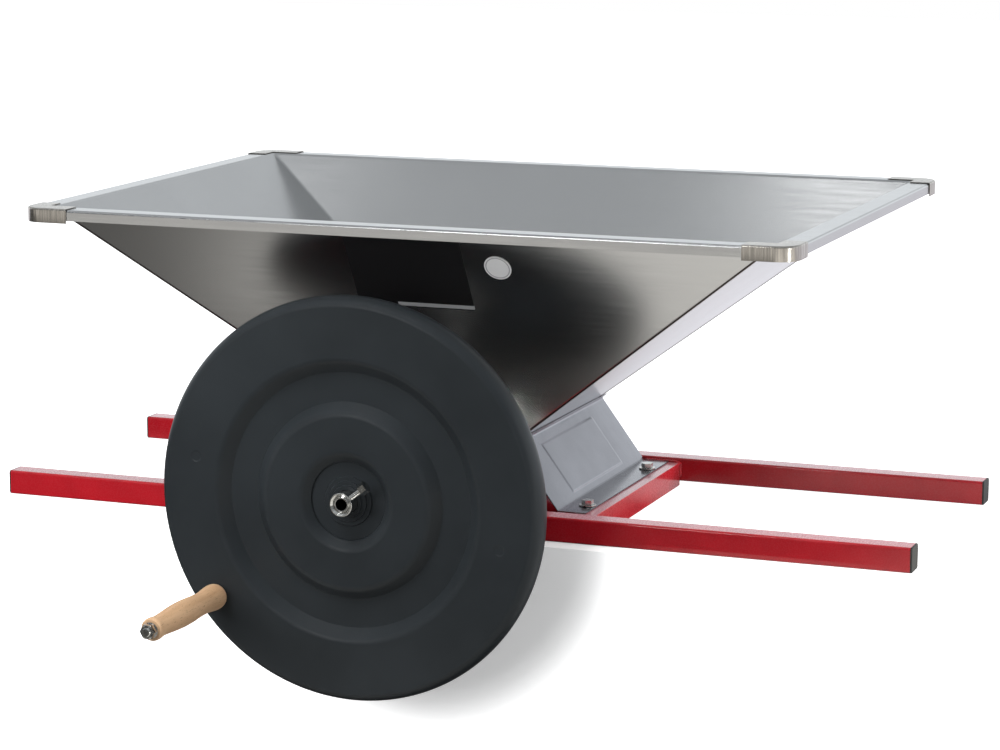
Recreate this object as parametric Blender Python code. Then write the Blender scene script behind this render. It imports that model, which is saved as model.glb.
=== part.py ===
"""Hand cranked grape crusher: a sheet steel hopper over two geared, lobed rollers,
carried by a frame of two square bars and turned by a large flywheel.

Metres, +Z up. X runs along the bars, Y from the flywheel side to the back.
The origin is the middle of the front bar's underside.
"""
import math

import bmesh
import bpy
from mathutils import Vector

# Clearances
FIT_GAP = 0.0003            # between pieces that touch or are pressed together
RUN_GAP = 0.0005            # between a shaft and the bearing that it turns in
OVERRUN = 0.010             # how far a cutter passes the surfaces that it cuts

# Frame: two long square bars and two cross members
BAR_LENGTH = 1.164          # steel only, without the end caps
BAR_SIZE = 0.030
BAR_WALL = 0.002
BAR_CORNER = 0.0025
BAR_SPACING = 0.376         # centre line to centre line
CAP_HEAD = 0.002
CAP_PLUG = 0.014
MEMBER_SPAN = 0.374         # over the outer faces of the two cross members
MEMBER_WIDTH = 0.050
MEMBER_HEIGHT = 0.030
MEMBER_STEEL = 0.004
MEMBER_DROP = 0.0055        # below the top of the bars

# Hopper
HOPPER_LENGTH = 0.900       # inside, at the rim
HOPPER_WIDTH = 0.620
HOPPER_DEPTH = 0.280
THROAT_LENGTH = 0.160       # inside, at the bottom
THROAT_WIDTH = 0.2936
THROAT_RISE = 0.0391        # of the hopper's lower edge, above the shafts
HOPPER_SHEET = 0.0012
SEAM_RADIUS = 0.003         # inside the four folded wall corners
RIM_WIDTH = 0.028
RIM_LIP = 0.013
RIM_FOLD = 0.003            # radius of the folded edge
RIM_CORNER = 0.024          # radius of the rim in plan

# Rim corner pieces
CORNER_SHEET = 0.0010
CORNER_SKIRT = 0.0175
CORNER_LEG_X = 0.060
CORNER_LEG_Y = 0.050

# Plate and round label on the front wall
PLATE_LENGTH = 0.146
PLATE_HEIGHT = 0.100        # along the slope
PLATE_TOP = 0.022           # from the rim, along the slope
PLATE_OFFSET_X = -0.003
LABEL_RADIUS = 0.0165
LABEL_X = 0.111
LABEL_DROP = 0.056          # from the rim, along the slope
FOIL = 0.0004

# Side covers
COVER_SHEET = 0.0015
COVER_FRONT = 0.036         # y of the front edge
COVER_BACK = 0.3595         # y of the back edge
COVER_FOLD_X = 0.138        # where the panel meets its foot
COVER_FOOT = 0.035
COVER_LEAN_SHARE = 0.74     # sideways run for each unit of rise
COVER_TOP_LIP = 0.008
COVER_PRESSING = 0.002      # height of the pressed rectangle
COVER_PRESSING_TAPER = 0.003
PRESSING_SIDE = 0.070       # from the end edges to the pressed rectangle
PRESSING_LOW = 0.010
PRESSING_HIGH = 0.016
COVER_BOLT_X = 0.162
COVER_BOLT_SPACING = 0.228

# End plates of the roller box
END_SHEET = 0.0015
END_LIP = 0.020             # bent along the hopper wall
END_BOTTOM = -0.005
END_HOLE_RADIUS = 0.012

# Shafts, rollers, gears
SHAFT_RADIUS = 0.010
SHAFT_HEIGHT = 0.0669       # of the axes, above the underside of the bars
GEAR_MODULE = 0.005
GEAR_TEETH = 18
GEAR_WIDTH = 0.012
GEAR_BACKLASH = 0.0004
GEAR_BAR_GAP = 0.0025
ROLLER_TIP_RADIUS = 0.043
ROLLER_LOBE_DEPTH = 0.004
ROLLER_LOBES = 6
ROLLER_END_GAP = 0.002
SHAFT_TAIL = 0.014          # past the rear bearings
SHAFT_NOSE = 0.014          # of the driven shaft, past its front bearing
END_BORE_RADIUS = 0.0072    # of the hole in the drive shaft's front end
END_BORE_DEPTH = 0.030

# Bearing blocks
BLOCK_LENGTH = 0.074
BLOCK_FOOT = 0.012
BLOCK_RADIUS = 0.018
BLOCK_BOLT_SPACING = 0.054
BLOCK_BOLT_REACH = 0.010    # below the top of the bar

# Shaft collars
COLLAR_RADIUS = 0.017
COLLAR_WIDTH = 0.010

# Flywheel
WHEEL_RADIUS = 0.240
WHEEL_THICKNESS = 0.036
WHEEL_BACK = -0.1446        # y of the back face
WHEEL_RIM_ROUND = 0.012     # radial size of the rounded rim
GROOVE_DEPTH = 0.012
BOSS_RECESS_DEPTH = 0.010

# Flywheel hub and its clamp bolt
HUB_RADIUS = 0.014
HUB_FRONT_REACH = 0.014     # past the front face of the wheel
HUB_BACK_REACH = 0.010      # past the back face of the wheel
HUB_CHAMFER = 0.0012
HUB_FLANGE_RADIUS = 0.040
HUB_FLANGE = 0.004
HUB_SHAFT_RECESS = 0.0015   # of the shaft's end inside the hub
HUB_SCREW_CIRCLE = 0.028
HUB_SCREWS = 3
HUB_SCREW_TURN = math.radians(17)
CLAMP_BACK = 0.0075         # of the clamp bolt, behind the hub's front end
CLAMP_REACH = 0.0375        # from the axis to the end of the bolt's head
CLAMP_ANGLE = math.radians(38)

# Crank handle
GRIP_CIRCLE = 0.2090        # from the wheel's axis to the grip's axis
GRIP_ANGLE = math.radians(217)
GRIP_LENGTH = 0.168
GRIP_RADIUS = 0.0155
GRIP_BORE = 0.0056
SPINDLE_RADIUS = 0.005
SPINDLE_TAIL = 0.003

# Threaded fasteners: radius of the shank, width across the flats, head, nut
M8_RADIUS = 0.004
M8_FLATS = 0.013
M8_HEAD = 0.0053
M8_NUT = 0.0065
M8_WASHER_RADIUS = 0.0105
M8_WASHER = 0.0016
M6_RADIUS = 0.003
M6_FLATS = 0.010
M6_HEAD = 0.004
M10_FLATS = 0.016
M10_HEAD = 0.0064
M10_NUT = 0.008
M10_WASHER_RADIUS = 0.0095
M10_WASHER = 0.0015

# How finely round pieces are divided
FINE = 60
ROUND = 32
SMALL = 24
THREAD = 12

# Sizes that follow from the ones above
HALF_BAR = BAR_SIZE / 2
CENTRE_Y = BAR_SPACING / 2
MEMBER_TOP = BAR_SIZE - MEMBER_DROP
MEMBER_X = MEMBER_SPAN / 2
HOPPER_BOTTOM = SHAFT_HEIGHT + THROAT_RISE
RIM_HEIGHT = HOPPER_BOTTOM + HOPPER_DEPTH
SIDE_RUN = (HOPPER_LENGTH - THROAT_LENGTH) / 2 / HOPPER_DEPTH
FRONT_RUN = (HOPPER_WIDTH - THROAT_WIDTH) / 2 / HOPPER_DEPTH
SIDE_OFFSET = math.hypot(1, SIDE_RUN)
FRONT_OFFSET = math.hypot(1, FRONT_RUN)
AXIS_X = GEAR_MODULE * GEAR_TEETH / 2
ROLLER_FRONT = CENTRE_Y - THROAT_WIDTH / 2 + ROLLER_END_GAP
ROLLER_BACK = CENTRE_Y + THROAT_WIDTH / 2 - ROLLER_END_GAP
GEAR_FRONT = HALF_BAR + GEAR_BAR_GAP
REAR_BAR_BACK = BAR_SPACING + HALF_BAR
SHAFT_BACK = REAR_BAR_BACK + SHAFT_TAIL
WHEEL_FRONT = WHEEL_BACK - WHEEL_THICKNESS
HUB_FRONT = WHEEL_FRONT - HUB_FRONT_REACH
HUB_BACK = WHEEL_BACK + HUB_BACK_REACH
COVER_BASE = MEMBER_TOP + FIT_GAP + COVER_SHEET
GRIP_BACK = WHEEL_FRONT - RUN_GAP
GRIP_FRONT = GRIP_BACK - GRIP_LENGTH

# Colour, roughness and metallic value of each finish
FINISHES = {
    "stainless": ((0.55, 0.55, 0.56), 0.28, 1.0),
    "brushed_steel": ((0.42, 0.42, 0.42), 0.38, 1.0),
    "zinc_sheet": ((0.44, 0.44, 0.48), 0.45, 0.9),
    "red_paint": ((0.50, 0.015, 0.025), 0.35, 0.0),
    "black_plastic": ((0.028, 0.033, 0.036), 0.45, 0.0),
    "cap_plastic": ((0.05, 0.05, 0.05), 0.55, 0.0),
    "white_nylon": ((0.75, 0.74, 0.70), 0.50, 0.0),
    "cast_aluminium": ((0.60, 0.60, 0.61), 0.42, 1.0),
    "gear_iron": ((0.20, 0.20, 0.21), 0.50, 1.0),
    "zinc_plate": ((0.66, 0.67, 0.69), 0.25, 1.0),
    "beech": ((0.62, 0.42, 0.25), 0.55, 0.0),
    "black_foil": ((0.012, 0.012, 0.013), 0.30, 0.0),
    "white_foil": ((0.80, 0.80, 0.80), 0.40, 0.0),
}


def clear_scene():
    for item in list(bpy.data.objects):
        bpy.data.objects.remove(item, do_unlink=True)


def finish(name):
    """The material of that name, made on first use."""
    material = bpy.data.materials.get(name)
    if material is None:
        colour, roughness, metallic = FINISHES[name]
        material = bpy.data.materials.new(name)
        material.use_nodes = True
        shader = material.node_tree.nodes["Principled BSDF"]
        shader.inputs["Base Color"].default_value = (*colour, 1)
        shader.inputs["Roughness"].default_value = roughness
        shader.inputs["Metallic"].default_value = metallic
    return material


def add_object(name, bm, material, parent=None, location=(0, 0, 0), smooth=False):
    """Turn the bmesh into an object with outward faces."""
    bmesh.ops.recalc_face_normals(bm, faces=bm.faces)
    mesh = bpy.data.meshes.new(name)
    bm.to_mesh(mesh)
    bm.free()
    if smooth:
        mesh.shade_smooth()
        mesh.set_sharp_from_angle(angle=math.radians(32))
    item = bpy.data.objects.new(name, mesh)
    bpy.context.scene.collection.objects.link(item)
    if material:
        mesh.materials.append(finish(material))
    item.parent = parent
    item.location = location
    return item


def axis_empty(name, location, parent=None):
    empty = bpy.data.objects.new(name, None)
    bpy.context.scene.collection.objects.link(empty)
    empty.parent = parent
    empty.location = location
    return empty


# Outlines: lists of (a, b) points, counter clockwise

def circle(radius, count=ROUND):
    turns = [math.tau * i / count for i in range(count)]
    return [(radius * math.cos(turn), radius * math.sin(turn)) for turn in turns]


def hexagon(flats, count=THREAD):
    """A hexagon with extra points on its sides, so that it joins circles of as many points."""
    points = []
    sector = math.tau / 6
    for i in range(count):
        angle = math.tau * i / count
        radius = flats / 2 / math.cos(angle % sector - sector / 2)
        points.append((radius * math.cos(angle), radius * math.sin(angle)))
    return points


def rounded_rectangle(half_a, half_b, radius, steps=6):
    points = []
    corners = ((1, 1, 0), (-1, 1, 1), (-1, -1, 2), (1, -1, 3))
    for sign_a, sign_b, quarter in corners:
        for i in range(steps + 1):
            angle = math.pi / 2 * (quarter + i / steps)
            points.append((sign_a * (half_a - radius) + radius * math.cos(angle),
                           sign_b * (half_b - radius) + radius * math.sin(angle)))
    return points


def lobed(tip_radius, lobe_depth, lobes, turn=0.0, per_lobe=8):
    """The cross section of a roller with rounded lobes."""
    mean = tip_radius - lobe_depth / 2
    points = []
    for i in range(lobes * per_lobe):
        angle = math.tau * i / (lobes * per_lobe)
        radius = mean + lobe_depth / 2 * math.cos(lobes * (angle - turn))
        points.append((radius * math.cos(angle), radius * math.sin(angle)))
    return points


def gear_outline(module, teeth, backlash, turn=0.0):
    """Straight flanked teeth, each drawn with four points."""
    pitch = module * teeth / 2
    quarter = math.pi / 2 / teeth
    slack = backlash / 2 / pitch
    dedendum_share, addendum_share = 1.25, 0.95
    root = pitch - dedendum_share * module
    tip = pitch + addendum_share * module
    # Shares of a quarter of the tooth spacing, from the middle of the tooth
    tip_share, root_share = 0.48, 1.62
    corners = ((root, -root_share), (tip, -tip_share), (tip, tip_share), (root, root_share))
    points = []
    for tooth in range(teeth):
        for radius, share in corners:
            narrow = -slack if share > 0 else slack
            angle = turn + math.tau * tooth / teeth + share * quarter + narrow
            points.append((radius * math.cos(angle), radius * math.sin(angle)))
    return points


# Meshes

def along_y(outline, y):
    """The outline in the plane at that y, seen along +Y with X to the right."""
    return [(a, y, b) for a, b in outline]


def along_x(outline, x):
    return [(x, a, b) for a, b in outline]


def along_z(outline, z):
    return [(a, b, z) for a, b in outline]


def loft(loops, ring=False):
    """Join loops of as many points by quads. A ring also joins the last loop to the first."""
    bm = bmesh.new()
    rows = [[bm.verts.new(point) for point in loop] for loop in loops]
    pairs = list(zip(rows, rows[1:]))
    if ring:
        pairs.append((rows[-1], rows[0]))
    else:
        bm.faces.new(rows[0])
        bm.faces.new(rows[-1])
    for low, high in pairs:
        for i, corner in enumerate(low):
            j = (i + 1) % len(low)
            bm.faces.new((corner, low[j], high[j], high[i]))
    return bm


def prism(outline, place, start, end):
    return loft([place(outline, start), place(outline, end)])


def tube(outer, inner, place, start, end):
    return loft([place(outer, start), place(outer, end),
                 place(inner, end), place(inner, start)], ring=True)


def turned(profile, count=ROUND, ring=True):
    """Turn (radius, y) points about the Y axis."""
    return loft([along_y(circle(radius, count), y) for radius, y in profile], ring)


def cutter(name, bm, parent=None, location=(0, 0, 0)):
    item = add_object(name, bm, None, parent, location)
    item.hide_render = True
    item.display_type = "WIRE"
    return item


def cut(item, tool, operation="DIFFERENCE"):
    modifier = item.modifiers.new(tool.name, "BOOLEAN")
    modifier.operation = operation
    modifier.solver = "EXACT"
    modifier.object = tool


def drill(item, name, radius, place, centre, start, end, count=THREAD, parent=None):
    """Cut a round hole whose axis passes through the centre."""
    outline = [(a + centre[0], b + centre[1]) for a, b in circle(radius, count)]
    cut(item, cutter(name, prism(outline, place, start, end), parent))


# Frame

def frame_bar(name, y):
    outer = rounded_rectangle(HALF_BAR, HALF_BAR, BAR_CORNER, steps=3)
    inner = rounded_rectangle(HALF_BAR - BAR_WALL, HALF_BAR - BAR_WALL,
                              BAR_CORNER - BAR_WALL / 2, steps=3)
    bm = tube(outer, inner, along_x, -BAR_LENGTH / 2, BAR_LENGTH / 2)
    bar = add_object(name, bm, "red_paint", location=(0, y, HALF_BAR), smooth=True)
    for side in (-1, 1):
        for bolt in (-1, 1):
            x = side * AXIS_X + bolt * BLOCK_BOLT_SPACING / 2
            drill(bar, f"{name}_hole", M8_RADIUS + FIT_GAP, along_z, (x, y),
                  BAR_SIZE - BLOCK_BOLT_REACH, BAR_SIZE + OVERRUN)


def end_cap(name, side, y):
    """A plastic plug with a square head that covers the end of the bar."""
    head = rounded_rectangle(HALF_BAR, HALF_BAR, BAR_CORNER, steps=3)
    half_plug = HALF_BAR - BAR_WALL - FIT_GAP
    plug = rounded_rectangle(half_plug, half_plug, BAR_CORNER - BAR_WALL / 2, steps=3)
    face = BAR_LENGTH / 2 + FIT_GAP
    sections = ((head, face + CAP_HEAD), (head, face), (plug, face), (plug, face - CAP_PLUG))
    bm = loft([along_x(outline, side * x) for outline, x in sections])
    add_object(name, bm, "cap_plastic", location=(0, y, HALF_BAR), smooth=True)


def cross_member(name, side):
    """An angle section whose flat top carries the foot of the cover."""
    inner_x = MEMBER_X - MEMBER_WIDTH
    top, bottom = MEMBER_TOP, MEMBER_TOP - MEMBER_HEIGHT
    outline = [(inner_x, top), (inner_x, top - MEMBER_STEEL),
               (MEMBER_X - MEMBER_STEEL, top - MEMBER_STEEL), (MEMBER_X - MEMBER_STEEL, bottom),
               (MEMBER_X, bottom), (MEMBER_X, top)]
    outline = [(side * x, z) for x, z in outline]
    start = HALF_BAR + FIT_GAP
    bm = prism(outline, along_y, start, BAR_SPACING - start)
    member = add_object(name, bm, "red_paint")
    for end in (-1, 1):
        y = CENTRE_Y + end * COVER_BOLT_SPACING / 2
        drill(member, f"{name}_hole", M8_RADIUS + FIT_GAP, along_z, (side * COVER_BOLT_X, y),
              top - MEMBER_STEEL - OVERRUN, top + OVERRUN)


# Hopper

def rim_loop(inset, z, radius):
    """A plan outline at a distance inside the rim's outer edge."""
    half_x = HOPPER_LENGTH / 2 + RIM_WIDTH - inset
    half_y = HOPPER_WIDTH / 2 + RIM_WIDTH - inset
    return along_z(rounded_rectangle(half_x, half_y, radius), z)


def wall_loop(z, sheet):
    """A plan outline on the sloping walls, on their inside or a sheet further out."""
    drop = RIM_HEIGHT - z
    half_x = HOPPER_LENGTH / 2 - SIDE_RUN * drop + sheet * SIDE_OFFSET
    half_y = HOPPER_WIDTH / 2 - FRONT_RUN * drop + sheet * FRONT_OFFSET
    return along_z(rounded_rectangle(half_x, half_y, SEAM_RADIUS + sheet), z)


def hopper():
    loops = [wall_loop(HOPPER_BOTTOM, 0), wall_loop(RIM_HEIGHT, 0)]
    fold_steps = 3
    for i in range(fold_steps + 1):
        angle = math.pi / 2 * i / fold_steps
        inset = RIM_FOLD * (1 - math.sin(angle))
        z = RIM_HEIGHT - RIM_FOLD * (1 - math.cos(angle))
        loops.append(rim_loop(inset, z, RIM_CORNER - inset))
    bottom = RIM_HEIGHT - RIM_LIP
    under = RIM_HEIGHT - HOPPER_SHEET
    inner_radius = RIM_CORNER - HOPPER_SHEET
    loops.append(rim_loop(0, bottom, RIM_CORNER))
    loops.append(rim_loop(HOPPER_SHEET, bottom, inner_radius))
    loops.append(rim_loop(HOPPER_SHEET, RIM_HEIGHT - RIM_FOLD, inner_radius))
    loops.append(rim_loop(RIM_FOLD, under, RIM_CORNER - RIM_FOLD))
    loops.append(wall_loop(under, HOPPER_SHEET))
    loops.append(wall_loop(HOPPER_BOTTOM, HOPPER_SHEET))
    add_object("hopper", loft(loops, ring=True), "stainless",
               location=(0, CENTRE_Y, 0), smooth=True)


def rim_corner(name, side_x, side_y):
    """A cap of thin sheet over one corner of the rim."""
    outer_x = HOPPER_LENGTH / 2 + RIM_WIDTH
    outer_y = HOPPER_WIDTH / 2 + RIM_WIDTH
    grow = FIT_GAP + CORNER_SHEET

    def plan(extra, leg, reach):
        """The L shaped plan of the corner, grown outwards and along its legs."""
        edge_x, edge_y = outer_x + extra, outer_y + extra
        radius = RIM_CORNER + extra
        points = [(outer_x - CORNER_LEG_X - leg, edge_y)]
        for i in range(7):
            angle = math.pi / 2 * (1 - i / 6)
            points.append((edge_x - radius + radius * math.cos(angle),
                           edge_y - radius + radius * math.sin(angle)))
        points += [(edge_x, outer_y - CORNER_LEG_Y - leg),
                   (HOPPER_LENGTH / 2 - reach, outer_y - CORNER_LEG_Y - leg),
                   (HOPPER_LENGTH / 2 - reach, HOPPER_WIDTH / 2 - reach),
                   (outer_x - CORNER_LEG_X - leg, HOPPER_WIDTH / 2 - reach)]
        return [(side_x * x, side_y * y) for x, y in points]

    top = RIM_HEIGHT + grow
    body = prism(plan(grow, 0, 0), along_z, top - CORNER_SKIRT, top)
    room = prism(plan(FIT_GAP, OVERRUN, OVERRUN), along_z,
                 top - CORNER_SKIRT - OVERRUN, RIM_HEIGHT + FIT_GAP)
    centre = (0, CENTRE_Y, 0)
    cap = add_object(name, body, "brushed_steel", location=centre, smooth=True)
    cut(cap, cutter(f"{name}_room", room, location=centre))


def front_wall_point(x, slope_distance, proud):
    """A point on the outside of the front wall, measured down its slope from the rim."""
    drop = slope_distance / FRONT_OFFSET
    y = CENTRE_Y - HOPPER_WIDTH / 2 + FRONT_RUN * drop - HOPPER_SHEET * FRONT_OFFSET
    lift = proud / FRONT_OFFSET
    return Vector((x, y - lift, RIM_HEIGHT - drop - lift * FRONT_RUN))


def name_plate():
    left = PLATE_OFFSET_X - PLATE_LENGTH / 2
    right = PLATE_OFFSET_X + PLATE_LENGTH / 2
    low = PLATE_TOP + PLATE_HEIGHT
    loops = [[front_wall_point(x, down, proud)
              for x, down in ((left, PLATE_TOP), (right, PLATE_TOP), (right, low), (left, low))]
             for proud in (FIT_GAP, FIT_GAP + FOIL)]
    add_object("name_plate", loft(loops), "black_foil")


def round_label():
    loops = [[front_wall_point(LABEL_X + a, LABEL_DROP + b, proud)
              for a, b in circle(LABEL_RADIUS)]
             for proud in (FIT_GAP, FIT_GAP + FOIL)]
    add_object("round_label", loft(loops), "white_foil")


# Bent sheets

def offset_line(points, distance):
    """The open line of (a, b) points, moved to its left by the distance."""
    directions = [(Vector(end) - Vector(start)).normalized()
                  for start, end in zip(points, points[1:])]
    normals = [Vector((-step.y, step.x)) for step in directions]
    moved = []
    for i, point in enumerate(points):
        before = normals[max(i - 1, 0)]
        after = normals[min(i, len(normals) - 1)]
        moved.append(Vector(point) + (before + after) * (distance / (1 + before.dot(after))))
    return [tuple(point) for point in moved]


def bent_sheet(line, ends, thickness, place, plain=()):
    """A folded sheet as a bmesh, with its two faces for each flat stretch.

    line holds (a, z) points of the outer face, ends the (low, high) limits of each
    point across, and place turns (across, a, z) into a point. The stretches listed
    in plain get no faces on their two sides, so that they can be pressed.
    """
    bm = bmesh.new()
    rows = []
    for side in (line, offset_line(line, thickness)):
        rows.append([[bm.verts.new(place(across, *point)) for across in limits]
                     for point, limits in zip(side, ends)])
    outer, inner = rows
    for i in range(len(line) - 1):
        if i not in plain:
            for row in rows:
                bm.faces.new((row[i][0], row[i][1], row[i + 1][1], row[i + 1][0]))
        for end in (0, 1):
            bm.faces.new((outer[i][end], outer[i + 1][end], inner[i + 1][end], inner[i][end]))
    for i in (0, len(line) - 1):
        bm.faces.new((outer[i][0], outer[i][1], inner[i][1], inner[i][0]))
    return bm, outer, inner


def pressed_face(bm, corners, window, taper, shift):
    """Fill the four corners with a face that has a pressed rectangle.

    window holds the distances of the rectangle from the low and high edges of both
    directions, and shift is how far its floor moves.
    """
    low_u, high_u, low_v, high_v = window
    origin = corners[0].co
    u = corners[1].co - origin
    v = corners[3].co - origin
    unit_u, unit_v = u.normalized(), v.normalized()

    def inner(margin, move):
        spots = ((low_u + margin, low_v + margin), (u.length - high_u - margin, low_v + margin),
                 (u.length - high_u - margin, v.length - high_v - margin),
                 (low_u + margin, v.length - high_v - margin))
        return [bm.verts.new(origin + unit_u * a + unit_v * b + move) for a, b in spots]

    rim = inner(0, Vector((0, 0, 0)))
    floor = inner(taper, shift)
    for start, end in ((corners, rim), (rim, floor)):
        for i in range(4):
            j = (i + 1) % 4
            bm.faces.new((start[i], start[j], end[j], end[i]))
    bm.faces.new(floor)


def cover_line():
    """(x, z) points on the outside of the right cover, from its foot to its top lip."""
    fold = (COVER_FOLD_X, COVER_BASE)
    wall_gap = (HOPPER_SHEET + FIT_GAP + COVER_SHEET) * SIDE_OFFSET
    wall_at_zero = HOPPER_LENGTH / 2 - SIDE_RUN * RIM_HEIGHT + wall_gap
    top_z = ((COVER_FOLD_X + COVER_LEAN_SHARE * COVER_BASE - wall_at_zero)
             / (SIDE_RUN + COVER_LEAN_SHARE))
    top_x = wall_at_zero + SIDE_RUN * top_z
    lip = (top_x + COVER_TOP_LIP * SIDE_RUN / SIDE_OFFSET, top_z + COVER_TOP_LIP / SIDE_OFFSET)
    return [(COVER_FOLD_X + COVER_FOOT, COVER_BASE), fold, (top_x, top_z), lip]


def cover(name, side):
    """A bent sheet that closes one side of the roller box."""
    line = cover_line()
    ends = [(COVER_FRONT, COVER_BACK)] * len(line)
    bm, outer, inner = bent_sheet(line, ends, COVER_SHEET,
                                  lambda y, x, z: (side * x, y, z), plain=(1,))
    outward = Vector((side, 0, COVER_LEAN_SHARE)).normalized() * COVER_PRESSING
    window = (PRESSING_SIDE, PRESSING_SIDE, PRESSING_LOW, PRESSING_HIGH)
    for row in (outer, inner):
        corners = (row[1][0], row[1][1], row[2][1], row[2][0])
        pressed_face(bm, corners, window, COVER_PRESSING_TAPER, outward)
    sheet = add_object(name, bm, "zinc_sheet")
    for end in (-1, 1):
        y = CENTRE_Y + end * COVER_BOLT_SPACING / 2
        drill(sheet, f"{name}_hole", M8_RADIUS + FIT_GAP, along_z, (side * COVER_BOLT_X, y),
              MEMBER_TOP - OVERRUN, MEMBER_TOP + OVERRUN)


def end_plate(name, side):
    """The wall of the roller box at one end, hung from the hopper by its bent lip."""
    inside = THROAT_WIDTH / 2 + END_SHEET
    top = HOPPER_BOTTOM - FIT_GAP
    panel_room = (COVER_SHEET + 2 * FIT_GAP) * math.hypot(1, COVER_LEAN_SHARE)

    def half_width(z):
        return COVER_FOLD_X - COVER_LEAN_SHARE * (z - COVER_BASE) - panel_room

    wall_gap = (HOPPER_SHEET + FIT_GAP + END_SHEET) * FRONT_OFFSET
    wall_at_zero = HOPPER_WIDTH / 2 - FRONT_RUN * RIM_HEIGHT + wall_gap
    bend_z = (inside - wall_at_zero) / FRONT_RUN
    lip_z = bend_z + END_LIP / FRONT_OFFSET
    lip_distance = inside + (lip_z - bend_z) * FRONT_RUN
    lip_half = half_width(top)
    line = [(inside, END_BOTTOM), (inside, MEMBER_TOP), (inside, bend_z), (lip_distance, lip_z)]
    halves = [half_width(MEMBER_TOP), half_width(MEMBER_TOP), lip_half, lip_half]
    ends = [(-half, half) for half in halves]
    bm, _, _ = bent_sheet(line, ends, END_SHEET,
                          lambda x, distance, z: (x, CENTRE_Y + side * distance, z))
    plate = add_object(name, bm, "zinc_sheet")
    wall = CENTRE_Y + side * inside
    for shaft_side in (-1, 1):
        drill(plate, f"{name}_hole", END_HOLE_RADIUS, along_y,
              (shaft_side * AXIS_X, SHAFT_HEIGHT), wall - OVERRUN, wall + OVERRUN)


# Fasteners, all pointing along -Y or +Z of their own frame

def hex_bolt(name, place, head_end, head, flats, radius, reach, spot, parent=None, sign=1):
    """A bolt whose head starts at head_end; the shank runs on from it by reach."""
    under = head_end + sign * head
    tip = under + sign * reach
    sections = ((hexagon(flats), head_end), (hexagon(flats), under),
                (circle(radius, THREAD), under), (circle(radius, THREAD), tip))
    bm = loft([place(outline, at) for outline, at in sections])
    return add_object(name, bm, "zinc_plate", parent, spot, smooth=True)


def ring_piece(name, place, outer, bore, start, end, material, spot, parent=None):
    bm = tube(outer, circle(bore, len(outer)), place, start, end)
    return add_object(name, bm, material, parent, spot, smooth=True)


def cover_fastening(name, side, end):
    """A washer and a bolt that hold the foot of a cover down on the cross member."""
    spot = (side * COVER_BOLT_X, CENTRE_Y + end * COVER_BOLT_SPACING / 2, 0)
    washer_base = COVER_BASE + FIT_GAP
    washer_top = washer_base + M8_WASHER
    ring_piece(f"{name}_washer", along_z, circle(M8_WASHER_RADIUS, SMALL), M8_RADIUS + FIT_GAP,
               washer_base, washer_top, "zinc_plate", spot)
    head_top = washer_top + FIT_GAP + M8_HEAD
    reach = head_top - M8_HEAD - (MEMBER_TOP - MEMBER_STEEL) + M8_NUT
    hex_bolt(f"{name}_bolt", along_z, head_top, M8_HEAD, M8_FLATS, M8_RADIUS, reach, spot,
             sign=-1)


# Bearings

def block_outline():
    """A foot with a rounded housing above it, with the axis at the origin."""
    foot_bottom = BAR_SIZE + FIT_GAP - SHAFT_HEIGHT
    foot_top = foot_bottom + BLOCK_FOOT
    half = BLOCK_LENGTH / 2
    points = [(-half, foot_bottom), (half, foot_bottom), (half, foot_top),
              (BLOCK_RADIUS, foot_top)]
    steps = 12
    points += [(BLOCK_RADIUS * math.cos(math.pi * i / steps),
                BLOCK_RADIUS * math.sin(math.pi * i / steps)) for i in range(steps + 1)]
    points += [(-BLOCK_RADIUS, foot_top), (-half, foot_top)]
    return points


def bearing_block(name, side, bar_y):
    """A nylon block that stands on the bar and carries one end of a shaft."""
    axis = (side * AXIS_X, 0, SHAFT_HEIGHT)
    half = HALF_BAR - FIT_GAP
    block = add_object(name, prism(block_outline(), along_y, bar_y - half, bar_y + half),
                       "white_nylon", location=axis, smooth=True)
    drill(block, f"{name}_bore", SHAFT_RADIUS + RUN_GAP, along_y, (side * AXIS_X, SHAFT_HEIGHT),
          bar_y - BAR_SIZE, bar_y + BAR_SIZE, count=SMALL)
    foot_top = BAR_SIZE + FIT_GAP + BLOCK_FOOT
    for number, bolt in enumerate((-1, 1), start=1):
        x = side * AXIS_X + bolt * BLOCK_BOLT_SPACING / 2
        drill(block, f"{name}_bolt_hole", M8_RADIUS + FIT_GAP, along_z, (x, bar_y),
              BAR_SIZE - OVERRUN, foot_top + OVERRUN)
        head_top = foot_top + FIT_GAP + M8_HEAD
        reach = head_top - M8_HEAD - BAR_SIZE + BLOCK_BOLT_REACH
        hex_bolt(f"{name}_bolt_{number}", along_z, head_top, M8_HEAD, M8_FLATS, M8_RADIUS,
                 reach, (x, bar_y, 0), sign=-1)


# Roller pair, built about each axis

def shaft(name, axis, front, end_bore=()):
    """A round bar with chamfered ends. end_bore is the profile of a hole in its front end."""
    profile = [*end_bore, (SHAFT_RADIUS - HUB_CHAMFER, front), (SHAFT_RADIUS, front + HUB_CHAMFER),
               (SHAFT_RADIUS, SHAFT_BACK - HUB_CHAMFER), (SHAFT_RADIUS - HUB_CHAMFER, SHAFT_BACK)]
    add_object(name, turned(profile, ROUND, ring=False), "zinc_plate", axis, smooth=True)


def roller(name, axis, turn):
    outer = lobed(ROLLER_TIP_RADIUS, ROLLER_LOBE_DEPTH, ROLLER_LOBES, turn)
    ring_piece(name, along_y, outer, SHAFT_RADIUS + FIT_GAP, ROLLER_FRONT, ROLLER_BACK,
               "cast_aluminium", (0, 0, 0), axis)


def gear(name, axis, turn):
    outer = gear_outline(GEAR_MODULE, GEAR_TEETH, GEAR_BACKLASH, turn)
    bm = tube(outer, circle(SHAFT_RADIUS + FIT_GAP, len(outer)), along_y,
              GEAR_FRONT, GEAR_FRONT + GEAR_WIDTH)
    add_object(name, bm, "gear_iron", axis)


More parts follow.
